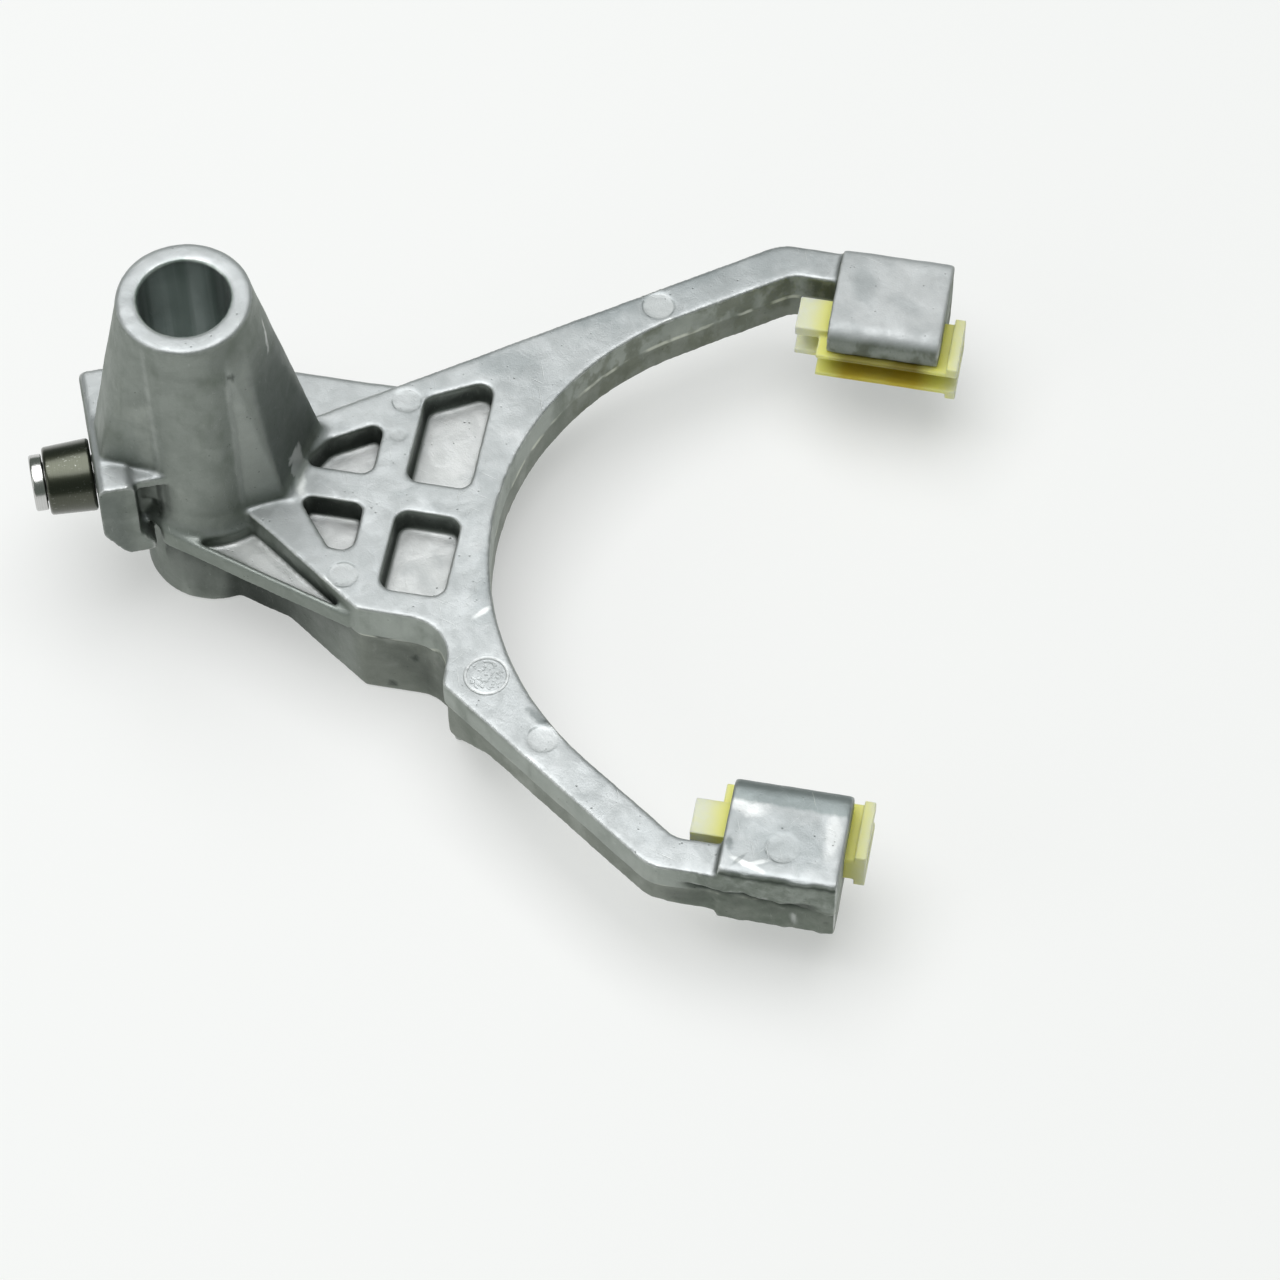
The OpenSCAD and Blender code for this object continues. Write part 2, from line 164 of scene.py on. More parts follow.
@dataclass
class Skin:
    """A fine closed surface held as arrays, on which a piece is shaped before it becomes an object."""

    mesh: Mesh
    points: Array = field(init=False)
    ends: Array = field(init=False)
    degree: Array = field(init=False)

    def __post_init__(self) -> None:
        """Reads the arrays from the mesh."""
        self.points = read(self.mesh.vertices, "co", 3).astype(float)
        self.ends = read(self.mesh.edges, "vertices", 2, np.int32)
        self.degree = np.maximum(np.bincount(self.ends.ravel(), minlength=len(self.points)), 1)

    @classmethod
    def of_node(cls, node: str, voxel: float) -> "Skin":
        """An even skin of small cells round a solid.

        Args:
            node: name of the solid's node.
            voxel: size of a cell in metres.

        Returns:
            The skin.
        """
        work = bmesh.new()
        work.from_mesh(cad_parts[node].data)
        bmesh.ops.remove_doubles(work, verts=work.verts, dist=1e-7)
        raw = bpy.data.meshes.new(node + "_raw")
        work.to_mesh(raw)
        work.free()
        holder = in_scene(node + "_raw", raw)
        cells = holder.modifiers.new("cells", "REMESH")
        cells.mode = "VOXEL"
        cells.voxel_size = voxel
        mesh = evaluated(holder)
        bpy.data.objects.remove(holder)
        bpy.data.meshes.remove(raw)
        return cls(mesh)

    def averaged(self, values: Array) -> Array:
        """Mean of each point's neighbours.

        Args:
            values: one value or row for each point.

        Returns:
            The means, in the same form.
        """
        a, b = self.ends.T
        count = len(self.points)
        if values.ndim == 1:
            total = np.bincount(a, values[b], count) + np.bincount(b, values[a], count)
            return total / self.degree
        return np.stack([self.averaged(column) for column in values.T], axis=1)

    def evened(self, values: Array, rounds: int) -> Array:
        """Evens values out over the skin.

        Args:
            values: one value for each point.
            rounds: how many times each moves half of the way to its neighbours' mean.

        Returns:
            The new values.
        """
        for _ in range(rounds):
            values = 0.5 * values + 0.5 * self.averaged(values)
        return values

    def relax(self, rounds: int) -> None:
        """Rounds the edges off, moving each point half of the way to its neighbours each time."""
        for _ in range(rounds):
            self.points += 0.5 * (self.averaged(self.points) - self.points)

    def normals(self) -> Array:
        """Outward direction at each point."""
        self.mesh.vertices.foreach_set("co", self.points.astype(np.float32).ravel())
        self.mesh.update()
        return read(self.mesh.vertex_normals, "vector", 3).astype(float)

    def push(self, depth: Array, normals: Array) -> None:
        """Moves each point inward by a depth in metres, or outward where the depth is below 0."""
        self.points -= depth[:, None] * normals

    def bend(self, rounds: int) -> Array:
        """How sharply the surface bends.

        Args:
            rounds: how many times the result is evened out.

        Returns:
            A value in metres for each point, above 0 on an outer edge and below 0 in a hollow.
        """
        turn = ((self.points - self.averaged(self.points)) * self.normals()).sum(axis=1)
        return self.evened(turn, rounds)


def evaluated(holder: Object) -> Mesh:
    """A new mesh of an object with its modifiers applied."""
    depsgraph = bpy.context.evaluated_depsgraph_get()
    depsgraph.update()
    return bpy.data.meshes.new_from_object(holder.evaluated_get(depsgraph))


def object_of(skin: Skin, name: str, limit: int, traits: dict[str, Array]) -> Object:
    """Makes an object of a skin, with fewer triangles where it is flat.

    Args:
        skin: the shaped skin.
        name: name of the object.
        limit: most triangles that it may have.
        traits: values for each point of the skin, which its materials read by name.

    Returns:
        The object, in the scene.
    """
    normals = skin.normals()
    holder = in_scene(name + "_fine", skin.mesh)
    faces = len(skin.mesh.loops) - 2 * len(skin.mesh.polygons)
    if faces > limit:
        thinner = holder.modifiers.new("thinner", "DECIMATE")
        thinner.ratio = limit / faces
        thinner.use_collapse_triangulate = True
    mesh = evaluated(holder)
    bpy.data.objects.remove(holder)
    mesh.name = name
    tree = KDTree(len(skin.points))
    for i, point in enumerate(skin.points):
        tree.insert(point, i)
    tree.balance()
    nearest = np.array([tree.find(vertex.co)[1] for vertex in mesh.vertices])
    for trait, values in traits.items():
        add_trait(mesh, trait, values[nearest])
    mesh.shade_smooth()
    mesh.normals_split_custom_set_from_vertices(normals[nearest])
    return in_scene(name, mesh)


def add_trait(mesh: Mesh, trait: str, values: Array) -> None:
    """Gives a mesh one value for each of its points, under a name that materials read."""
    layer = mesh.attributes.new(trait, "FLOAT", "POINT")
    layer.data.foreach_set("value", values.astype(np.float32))


def edge_traits(bend: Array) -> dict[str, Array]:
    """Shares of outer edge and of hollow, from the bend over the size of a cell."""
    gain = 7.0
    return {"edge": np.clip(bend * gain, 0, 1), "hollow": np.clip(-bend * gain, 0, 1)}


def shelter(mesh: Mesh, reach: float, pockets: tuple[Point, Point]) -> Array:
    """Share of the sky that a piece hides from its own walls, where the casting's colour is darkened as
    painted shade.

    Args:
        mesh: the piece's mesh.
        reach: distance in metres beyond which nothing counts.
        pockets: corners of a box in which a wall that faces another wall counts as hidden too.

    Returns:
        A share for each point; faces that look down count as open.
    """
    tilt, sides, clear, grazing, steep, rounds = math.radians(38), 6, 0.3 * MM, -0.08, 0.6, 14
    tree = BVHTree.FromPolygons([v.co for v in mesh.vertices], [tuple(f.vertices) for f in mesh.polygons])
    turns = np.arange(sides) * math.tau / sides
    ring = [(math.sin(tilt) * math.cos(a), math.sin(tilt) * math.sin(a), math.cos(tilt)) for a in turns]
    sky = [Vector(side) for side in ((0, 0, 1), *ring)]
    out = np.zeros(len(mesh.vertices))
    for i, vertex in enumerate(mesh.vertices):
        normal = vertex.normal
        if normal.z < -steep:
            continue
        start = vertex.co + normal * clear
        seen = [side for side in sky if side.dot(normal) > grazing]
        hidden = sum(tree.ray_cast(start, side, reach)[0] is not None for side in seen)
        out[i] = hidden / max(len(seen), 1)
        within = all(low < at < high for low, at, high in zip(pockets[0], vertex.co, pockets[1]))
        if within and abs(normal.z) < steep and tree.ray_cast(start, normal, reach)[0] is not None:
            out[i] = 1.0
    return Skin(mesh).evened(out, rounds)


def lathed(name: str, profile: list[tuple[float, float]], sides: int) -> Mesh:
    """Turns a closed profile about the Z axis.

    Args:
        name: name of the mesh.
        profile: points as (radius, height), in order round the section.
        sides: how many steps make a full turn.

    Returns:
        The mesh.
    """
    work = bmesh.new()
    angles = [math.tau * i / sides for i in range(sides)]
    rings = []
    for radius, height in profile:
        if radius < 1e-9:
            rings.append([work.verts.new((0, 0, height))] * sides)
            continue
        rings.append([work.verts.new((radius * math.cos(a), radius * math.sin(a), height)) for a in angles])
    for here, there in zip(rings, rings[1:] + rings[:1]):
        for i in range(sides):
            k = (i + 1) % sides
            corners = list(dict.fromkeys([here[i], here[k], there[k], there[i]]))
            if len(corners) > 2:
                work.faces.new(corners)
    bmesh.ops.recalc_face_normals(work, faces=work.faces)
    mesh = bpy.data.meshes.new(name)
    work.to_mesh(mesh)
    work.free()
    return mesh


def rounded_profile(corners: list[tuple[float, float, float]], steps: int = 5) -> list[tuple[float, float]]:
    """Rounds the corners of a section.

    Args:
        corners: corners as (radius, height, rounding), in order.
        steps: how many steps make a rounding.

    Returns:
        Points as (radius, height).
    """
    out: list[tuple[float, float]] = []
    for i, (radius, height, rounding) in enumerate(corners):
        here = Vector((radius, height))
        if rounding <= 0:
            out.append((radius, height))
            continue
        back = (Vector(corners[i - 1][:2]) - here).normalized()
        on = (Vector(corners[(i + 1) % len(corners)][:2]) - here).normalized()
        half = back.angle(on) / 2
        start, stop = here + back * rounding / math.tan(half), here + on * rounding / math.tan(half)
        for k in range(steps + 1):
            share = k / steps
            curve = start * (1 - share) ** 2 + here * 2 * share * (1 - share) + stop * share**2
            out.append((curve.x, curve.y))
    return out


class Graph:
    """A node tree wired by short calls, in which an input is either a value or another node's socket."""

    def __init__(self, tree: NodeTree) -> None:
        """Takes the tree of a material or a group."""
        self.tree = tree

    def node(self, kind: str, inputs: dict[int | str, object] | None = None, **settings: object) -> Node:
        """Adds a node.

        Args:
            kind: Blender's name for the node's type.
            inputs: values or sockets for its inputs, by name or place.
            settings: other properties of the node.

        Returns:
            The node.
        """
        made = self.tree.nodes.new(kind)
        for key, value in settings.items():
            setattr(made, key, value)
        self.feed(made, inputs or {})
        return made

    def feed(self, node: Node, inputs: dict[int | str, object]) -> None:
        """Sets or links inputs of a node.

        Args:
            node: the node.
            inputs: for each input, by name or place, a value or the socket that it comes from.
        """
        for key, value in inputs.items():
            socket = node.inputs[key]
            if isinstance(value, NodeSocket):
                self.tree.links.new(value, socket)
            elif isinstance(value, tuple) and socket.type == "RGBA":
                socket.default_value = (*value, 1.0)
            else:
                socket.default_value = value

    def group(self, tree: NodeTree, **inputs: float) -> bpy.types.NodeOutputs:
        """Outputs of a shared group, placed with its own values."""
        return self.node("ShaderNodeGroup", inputs, node_tree=tree).outputs

    def maths(self, operation: str, *values: object, clamp: bool = False) -> NodeSocket:
        """Result of a Math node on up to three values."""
        made = self.node("ShaderNodeMath", dict(enumerate(values)), operation=operation, use_clamp=clamp)
        return made.outputs[0]

    def vector(self, operation: str, *values: object, out: int | str = 0) -> NodeSocket:
        """Result of a Vector Math node on one or two vectors."""
        return self.node("ShaderNodeVectorMath", dict(enumerate(values)), operation=operation).outputs[out]

    def between(
        self, value: object, low: float, high: float, to_low: float = 0.0, to_high: float = 1.0
    ) -> NodeSocket:
        """Eased share of the way from low to high, laid out from to_low to to_high."""
        inputs = {0: value, 1: low, 2: high, 3: to_low, 4: to_high}
        return self.node("ShaderNodeMapRange", inputs, interpolation_type="SMOOTHSTEP").outputs[0]

    def mix(self, share: object, a: object, b: object) -> NodeSocket:
        """Mixes two colours by a share."""
        return self.node("ShaderNodeMix", {0: share, 6: a, 7: b}, data_type="RGBA").outputs[2]

    def layered(self, colour: object, layers: Layers) -> NodeSocket:
        """Lays colours over a colour, each by a mask and a share, from the lowest to the highest."""
        for mask, share, over in layers:
            colour = self.mix(self.scaled(mask, share), colour, over)
        return colour

    def blend(self, share: object, a: object, b: object) -> NodeSocket:
        """Mixes two values by a share."""
        return self.node("ShaderNodeMix", {0: share, 2: a, 3: b}, data_type="FLOAT").outputs[0]

    def place(self) -> NodeSocket:
        """Place in the piece's own frame."""
        return self.node("ShaderNodeTexCoord").outputs["Object"]

    def axes(self, place: object) -> bpy.types.NodeOutputs:
        """The three numbers of a place."""
        return self.node("ShaderNodeSeparateXYZ", {0: place}).outputs

    def stretched(self, vector: object, scale: Point, turn: float = 0) -> NodeSocket:
        """A place turned about the Z axis, in degrees, and then stretched along each axis."""
        turned = self.node("ShaderNodeMapping", {"Vector": vector, "Rotation": (0, 0, math.radians(turn))})
        return self.vector("MULTIPLY", turned.outputs[0], scale)

    def noise(
        self, vector: object, scale: float, detail: float = 3, rough: float = 0.55, warp: float = 0
    ) -> NodeSocket:
        """Noise from 0 to 1."""
        inputs = {"Vector": vector, "Scale": scale, "Detail": detail, "Roughness": rough, "Distortion": warp}
        return self.node("ShaderNodeTexNoise", inputs).outputs[0]

    def trait(self, name: str) -> NodeSocket:
        """A value that the piece's mesh carries."""
        return self.node("ShaderNodeAttribute", attribute_name=name).outputs["Fac"]

    def away(self, place: object, centre: Point) -> NodeSocket:
        """Distance from a point."""
        return self.vector("DISTANCE", place, centre, out="Value")

    def scaled(self, value: object, by: float) -> NodeSocket:
        """A value times a number."""
        return self.maths("MULTIPLY", value, by)

    def summed(self, start: object, parts: Iterable[tuple[object, float]]) -> NodeSocket:
        """A value with others added, each times a number."""
        for value, by in parts:
            start = self.maths("ADD", start, self.scaled(value, by))
        return start

    def all_of(self, first: object, *others: object) -> NodeSocket:
        """Product of several masks."""
        for mask in others:
            first = self.maths("MULTIPLY", first, mask)
        return first

    def most_of(self, first: object, *others: object) -> NodeSocket:
        """Largest of several masks."""
        for mask in others:
            first = self.maths("MAXIMUM", first, mask)
        return first


class Effects:
    """Shader node groups that several finishes share, each built once."""

    def __init__(self) -> None:
        """Builds the groups."""
        self.grain = self._grain()
        self.scratches = self._scratches()
        self.wear_and_light = self._wear_and_light()

    @staticmethod
    def _group(name: str, inputs: dict[str, float], outputs: list[str]) -> tuple[Graph, Node, Node]:
        """Starts a group.

        Args:
            name: name of the group.
            inputs: names of its inputs with the values that they start from.
            outputs: names of its outputs.

        Returns:
            Its graph, and the nodes that hold its inputs and its outputs.
        """
        tree = bpy.data.node_groups.new(name, "ShaderNodeTree")
        for key, value in inputs.items():
            socket = tree.interface.new_socket(key, in_out="INPUT", socket_type="NodeSocketFloat")
            socket.default_value = value
        for key in outputs:
            tree.interface.new_socket(key, in_out="OUTPUT", socket_type="NodeSocketFloat")
        graph = Graph(tree)
        return graph, graph.node("NodeGroupInput"), graph.node("NodeGroupOutput")

    @staticmethod
    def _cells(graph: Graph, size: NodeSocket) -> NodeSocket:
        """Place in millimetres, over the size that a group is given."""
        inputs = {0: graph.place(), "Scale": graph.maths("DIVIDE", 1 / MM, size)}
        return graph.node("ShaderNodeVectorMath", inputs, operation="SCALE").outputs[0]

    def _grain(self) -> NodeTree:
        """Blotches, fine grain and pits of a cast or moulded surface.

        Returns:
            The group.
        """
        graph, given, out = self._group("surface_grain", {"Size": 1.0}, ["Blotch", "Grain", "Pits"])
        place = self._cells(graph, given.outputs["Size"])
        pits = graph.node("ShaderNodeTexVoronoi", {"Vector": place, "Scale": 0.9}).outputs["Distance"]
        few = graph.between(graph.noise(place, 0.35, 2), 0.55, 0.7)
        graph.feed(out, {
            "Blotch": graph.between(graph.noise(place, 0.22, 4, 0.6, 0.6), 0.32, 0.68),
            "Grain": graph.noise(place, 2.6, 4, 0.65),
            "Pits": graph.all_of(graph.between(pits, 0.22, 0.08), few),
        })
        return graph.tree

    def _scratches(self) -> NodeTree:
        """Fine scratches that run three ways, in patches.

        Returns:
            The group.
        """
        graph, given, out = self._group("fine_scratches", {"Size": 1.0, "Amount": 0.5}, ["Mask"])
        place = self._cells(graph, given.outputs["Size"])
        ways = [graph.stretched(place, (0.12, 3.2, 0.6), turn) for turn in (18, 71, 128)]
        drawn = [graph.noise(way, 1.0, 2, 0.5, 0.25) for way in ways]
        lines = graph.most_of(*(graph.between(line, 0.66, 0.76) for line in drawn))
        patch = graph.between(graph.noise(place, 0.09, 2), 0.42, 0.62)
        shown = graph.all_of(lines, patch)
        graph.feed(out, {"Mask": graph.maths("MULTIPLY", shown, given.outputs["Amount"], clamp=True)})
        return graph.tree

    def _wear_and_light(self) -> NodeTree:
        """Lighter outer edges and darker hollows, from how the surface bends; the materials use the edges for
        worn edges and painted highlights and the hollows for painted shade.

        Returns:
            The group.
        """
        graph, given, out = self._group("edge_wear_and_light", {"Reach": 1.0, "Break": 0.5}, ["Edge", "Hollow"])
        reach = given.outputs["Reach"]
        loss = graph.all_of(graph.noise(graph.place(), 700, 3), given.outputs["Break"])
        edge = graph.maths("SUBTRACT", graph.all_of(graph.trait("edge"), reach), loss)
        hollow = graph.all_of(graph.trait("hollow"), reach)
        graph.feed(out, {"Edge": graph.between(edge, 0.05, 0.75), "Hollow": graph.between(hollow, 0.05, 0.9)})
        return graph.tree


def new_material(name: str) -> tuple[Material, Graph, Node]:
    """Starts a material.

    Args:
        name: name of the material.

    Returns:
        The material, its graph and its Principled shader.
    """
    material = bpy.data.materials.new(name)
    material.use_nodes = True
    return material, Graph(material.node_tree), material.node_tree.nodes["Principled BSDF"]


@dataclass(frozen=True)
class Mark:
    """A round mark that a die leaves on an upper face."""

    centre: Point
    radius: float
    bright: float = 0.12

    def inside(self, graph: Graph, place: object) -> NodeSocket:
        """Mask of the disc."""
        soft = 0.12 * MM
        return graph.between(graph.away(place, self.centre), self.radius + soft, self.radius - soft)

    def rim(self, graph: Graph, place: object, width: float) -> NodeSocket:
        """Mask of a line round the disc."""
        off = graph.maths("ABSOLUTE", graph.maths("SUBTRACT", graph.away(place, self.centre), self.radius))
        return graph.between(off, width, width * 0.25)


@dataclass(frozen=True)
class Stain:
    """A soft patch on an upper face, lighter or darker than the skin round it, in millimetres."""

    centre: Point
    size: tuple[float, float]
    turn: float
    colour: Colour
    share: float

    def mask(self, graph: Graph, place: object, ragged: object) -> NodeSocket:
        """Mask of the patch.

        Args:
            graph: the material's graph.
            place: place on the casting.
            ragged: unevenness of the patch's outline.

        Returns:
            The mask.
        """
        shifted = graph.vector("SUBTRACT", place, tuple(side * MM for side in self.centre))
        scale = (1 / (self.size[0] * MM), 1 / (self.size[1] * MM), 0.35 / MM)
        near = graph.vector("LENGTH", graph.stretched(shifted, scale, -self.turn), out="Value")
        return graph.scaled(graph.between(graph.maths("ADD", near, ragged), 1.5, 0.5), self.share)


EJECTOR_MARKS = (
    Mark((0.0328, 0.0203, 0.0263), 2.6 * MM, 0.10),
    Mark((0.0328, 0.0126, 0.0263), 1.4 * MM, 0.08),
    Mark((0.0295, -0.0188, 0.0263), 2.6 * MM, 0.16),
    Mark((0.074, 0.0496, 0.0263), 2.9 * MM, 0.55),
    Mark((0.071, -0.046, 0.0263), 2.7 * MM, 0.16),
    Mark((0.116, -0.0612, 0.0283), 2.9 * MM, 0.28),
)
RING_MARK = Mark((0.0588, -0.035, 0.0265), 3.75 * MM)
RING_FLOOR = Mark(RING_MARK.centre, 3.1 * MM)

WEB_TOP, BLOCK_TOP = 26.5, 28.5
DULL: Colour = (0.27, 0.30, 0.31)
SOOT: Colour = (0.13, 0.15, 0.15)
CLEAN: Colour = (0.66, 0.67, 0.68)
# Light patches: worn metal on the near block and painted light on the near flange's recess floor.
RUBBED_AND_LIT: Colour = (0.80, 0.81, 0.81)
SCRATCHED: Colour = (0.84, 0.85, 0.85)
STAINS = (
    Stain((49.0, 31.8, WEB_TOP), (5.5, 2.6), 25, DULL, 0.45),
    Stain((41.8, 32.0, WEB_TOP), (4.0, 1.6), 30, DULL, 0.35),
    Stain((64.0, 48.0, WEB_TOP), (9.0, 3.2), 38, DULL, 0.50),
    Stain((78.0, 55.5, WEB_TOP), (24.0, 6.0), 33, DULL, 0.34),
    Stain((80.0, 57.5, WEB_TOP), (6.0, 2.0), 36, DULL, 0.45),
    Stain((70.0, 55.5, WEB_TOP), (5.0, 1.8), 36, (0.70, 0.71, 0.72), 0.40),
    Stain((57.0, -13.0, WEB_TOP), (4.0, 11.0), 0, DULL, 0.42),
    Stain((69.2, -41.8, WEB_TOP), (2.6, 0.8), -38, SOOT, 0.60),
    Stain((71.2, -42.8, WEB_TOP), (1.4, 0.6), -20, SOOT, 0.55),
    Stain((55.3, -22.3, WEB_TOP), (1.8, 0.5), 48, (0.86, 0.87, 0.87), 0.70),
    # Painted highlight at the web gusset's foot.
    Stain((16.5, 1.3, 26.6), (5.0, 1.2), -68, (0.86, 0.88, 0.87), 0.85),
    # Painted light on the near flange's recess floor.
    Stain((16.5, -15.6, 21.4), (9.0, 3.0), -24, RUBBED_AND_LIT, 0.60),
    Stain((116.0, -60.0, BLOCK_TOP), (11.0, 9.0), 0, DULL, 0.22),
    Stain((117.2, -60.0, BLOCK_TOP), (6.8, 4.2), -8, DULL, 0.45),
    Stain((108.5, -54.1, BLOCK_TOP), (3.2, 1.5), -6, RUBBED_AND_LIT, 0.65),
    Stain((124.0, -57.5, BLOCK_TOP), (1.3, 4.5), 0, RUBBED_AND_LIT, 0.55),
    Stain((110.5, -65.5, BLOCK_TOP), (2.8, 0.5), -18, SCRATCHED, 0.75),
    Stain((112.0, -64.9, BLOCK_TOP), (2.0, 0.4), 22, SCRATCHED, 0.60),
    Stain((106.7, -61.7, BLOCK_TOP), (0.7, 1.3), 10, (0.12, 0.14, 0.14), 0.65),
    Stain((109.0, -64.7, BLOCK_TOP), (1.8, 0.35), 52, (0.20, 0.22, 0.22), 0.60),
    Stain((116.5, 58.0, BLOCK_TOP), (11.0, 9.0), 0, CLEAN, 0.55),
    Stain((110.5, 60.0, BLOCK_TOP), (2.2, 4.5), 15, DULL, 0.40),
    Stain((119.0, 56.5, BLOCK_TOP), (3.6, 1.5), -25, DULL, 0.25),
)


@dataclass(frozen=True)
class CastAluminium:
    """Die-cast aluminium: bright satin faces, darker green-grey die walls, worn edges and a reamed bore, with
    painted light and shade: darker walls, lighter recess floors, highlights, sheen, shade in recesses and
    reflection streaks in the bore.
    """

    face: Colour = (0.49, 0.51, 0.52)
    face_dull: Colour = (0.32, 0.345, 0.355)
    face_light: Colour = (0.64, 0.65, 0.66)
    face_blotch: Colour = (0.38, 0.40, 0.40)
    # Recess floors lighter than the faces: painted light.
    floor: Colour = (0.57, 0.58, 0.58)
    # Walls darker than the faces: partly their finish and partly painted shade.
    wall: Colour = (0.275, 0.30, 0.275)
    wall_high: Colour = (0.36, 0.39, 0.36)
    wall_low: Colour = (0.235, 0.255, 0.225)
    wall_light: Colour = (0.43, 0.455, 0.42)
    # Painted sheen beside the hub's seam.
    wall_sheen: Colour = (0.45, 0.475, 0.45)
    wall_far: Colour = (0.15, 0.165, 0.125)
    moss: Colour = (0.17, 0.195, 0.165)
    flash: Colour = (0.63, 0.65, 0.57)
    # Painted shade on the gusset's slope and the follower boss.
    lee_shade: Colour = (0.09, 0.108, 0.10)
    # Lighter seams and glints: painted highlight.
    seam: Colour = (0.50, 0.52, 0.50)
    lip: Colour = (0.25, 0.28, 0.25)
    # Worn edges and painted highlights.
    rubbed_and_highlight: Colour = (0.74, 0.75, 0.74)
    # Near black for painted shade in recesses, hollows, pits and cracks.
    painted_shade: Colour = (0.03, 0.038, 0.032)
    torn: Colour = (0.16, 0.185, 0.155)
    disc: Colour = (0.78, 0.79, 0.79)
    disc_rim: Colour = (0.22, 0.245, 0.245)
    ring: Colour = (0.66, 0.67, 0.67)
    ring_floor: Colour = (0.36, 0.38, 0.38)
    reamed: Colour = (0.84, 0.88, 0.87)
    # Painted reflection streaks in the bore.
    reflection_streak: Colour = (0.52, 0.58, 0.56)
    # Painted shade on the near block's nose.
    nose: Colour = (0.21, 0.25, 0.25)
    face_metal: float = 0.7
    face_rough: float = 0.47
    wall_rough: float = 0.56
    reamed_rough: float = 0.36
    floor_low: float = 19.5 * MM
    floor_high: float = 22.3 * MM
    web_parting: float = 17.75 * MM
    arm_parting: float = 20.25 * MM
    plate_top: float = 26.5 * MM
    bore_reach: float = 8.5 * MM
    nose_start: float = -53.2 * MM
    bump_depth: float = 0.14 * MM

    def material(self, effects: Effects) -> Material:
        """Builds the material.

        Args:
            effects: the shared groups.

        Returns:
            The material.
        """
        material, graph, shader = new_material("die_cast_aluminium")
        place, up, torn, lip = graph.place(), graph.trait("up"), graph.trait("torn"), graph.trait("lip")
        grain = graph.group(effects.grain, Size=1.0)
        wear_and_light = graph.group(effects.wear_and_light, Reach=1.0, Break=0.4)
        scratches = graph.group(effects.scratches, Size=1.0, Amount=0.8)
        colour, marks = self._marks(graph, place, up, self._skin(graph, place, up, grain))
        # Painted shade: near black where the casting hides the sky from itself and on the web's wall under
        # the near flange.
        hidden = graph.all_of(graph.between(graph.trait("shelter"), 0.2, 1.0), graph.between(up, 0.7, 0.1))
        painted_shade_share = graph.most_of(graph.scaled(hidden, 0.9), graph.scaled(graph.trait("under"), 0.88))
        uneven = graph.between(graph.noise(place, 300.0, 4, 0.65, 0.4), 0.36, 0.64, 0.4, 1.0)
        whole = graph.maths("SUBTRACT", 1.0, graph.most_of(graph.scaled(torn, 0.8), lip))
        edge = graph.all_of(wear_and_light["Edge"], whole)
        scuffs = graph.all_of(scratches["Mask"], graph.between(up, 0, 1, 0.12, 0.45))
        bore, streaks = self._bore(graph, place)
        colour = graph.layered(self._stains(graph, place, up, colour), (
            (painted_shade_share, 1.0, self.painted_shade),
            # Painted shade in hollows.
            (wear_and_light["Hollow"], 0.6, self.painted_shade),
            (graph.all_of(torn, uneven), 0.85, self.torn),
            # Lighter along the hub's seams and on the torn wall's glints and ding: painted highlight.
            (graph.trait("seam"), 0.5, self.seam),
            (lip, 0.7, self.lip),
            # Worn edges, with painted highlights at the gusset's foot, its upper near edge and the notch's
            # corner.
            (edge, 0.75, self.rubbed_and_highlight),
            (scuffs, 1.0, self.rubbed_and_highlight),
            # Pits, cracks, dents, the burr, the hook and the wall pits darkened: painted shade.
            (grain["Pits"], 0.45, self.painted_shade),
            (graph.trait("crack"), 0.9, self.painted_shade),
            # Bore colour with painted reflection streaks along it.
            (bore, 1.0, streaks),
        ))
        rough = graph.summed(graph.blend(up, self.wall_rough, self.face_rough), (
            (graph.maths("SUBTRACT", grain["Grain"], 0.5), 0.2),
            (graph.maths("SUBTRACT", grain["Blotch"], 0.5), 0.12),
            (graph.trait("dulled"), 0.14),
        ))
        height = graph.summed(0.0, (
            (grain["Grain"], 0.5),
            (grain["Blotch"], 0.35),
            (grain["Pits"], -1.0),
            (scratches["Mask"], -0.4),
            (marks, -1.0),
        ))
        bump = graph.node("ShaderNodeBump", {"Strength": 0.4, "Distance": self.bump_depth, "Height": height})
        graph.feed(shader, {
            "Base Color": colour,
            "Roughness": graph.summed(graph.blend(bore, rough, self.reamed_rough), [(edge, -0.1)]),
            "Metallic": graph.most_of(graph.blend(up, 1.0, self.face_metal), edge, bore),
            "Normal": bump.outputs[0],
        })
        return material

    def _bore(self, graph: Graph, place: object) -> tuple[NodeSocket, NodeSocket]:
        """Reamed rail bore.

        Args:
            graph: the material's graph.
            place: place on the casting.

        Returns:
            Mask of the bore, and its colour with painted reflection streaks along it.
        """
        soft = 0.25 * MM
        away = graph.vector("LENGTH", graph.vector("MULTIPLY", place, (1, 1, 0)), out="Value")
        streak = graph.noise(graph.stretched(place, (330, 330, 9)), 1.0, 3, 0.5)
        colour = graph.mix(graph.between(streak, 0.36, 0.66), self.reamed, self.reflection_streak)
        return graph.between(away, self.bore_reach + soft, self.bore_reach - soft), colour

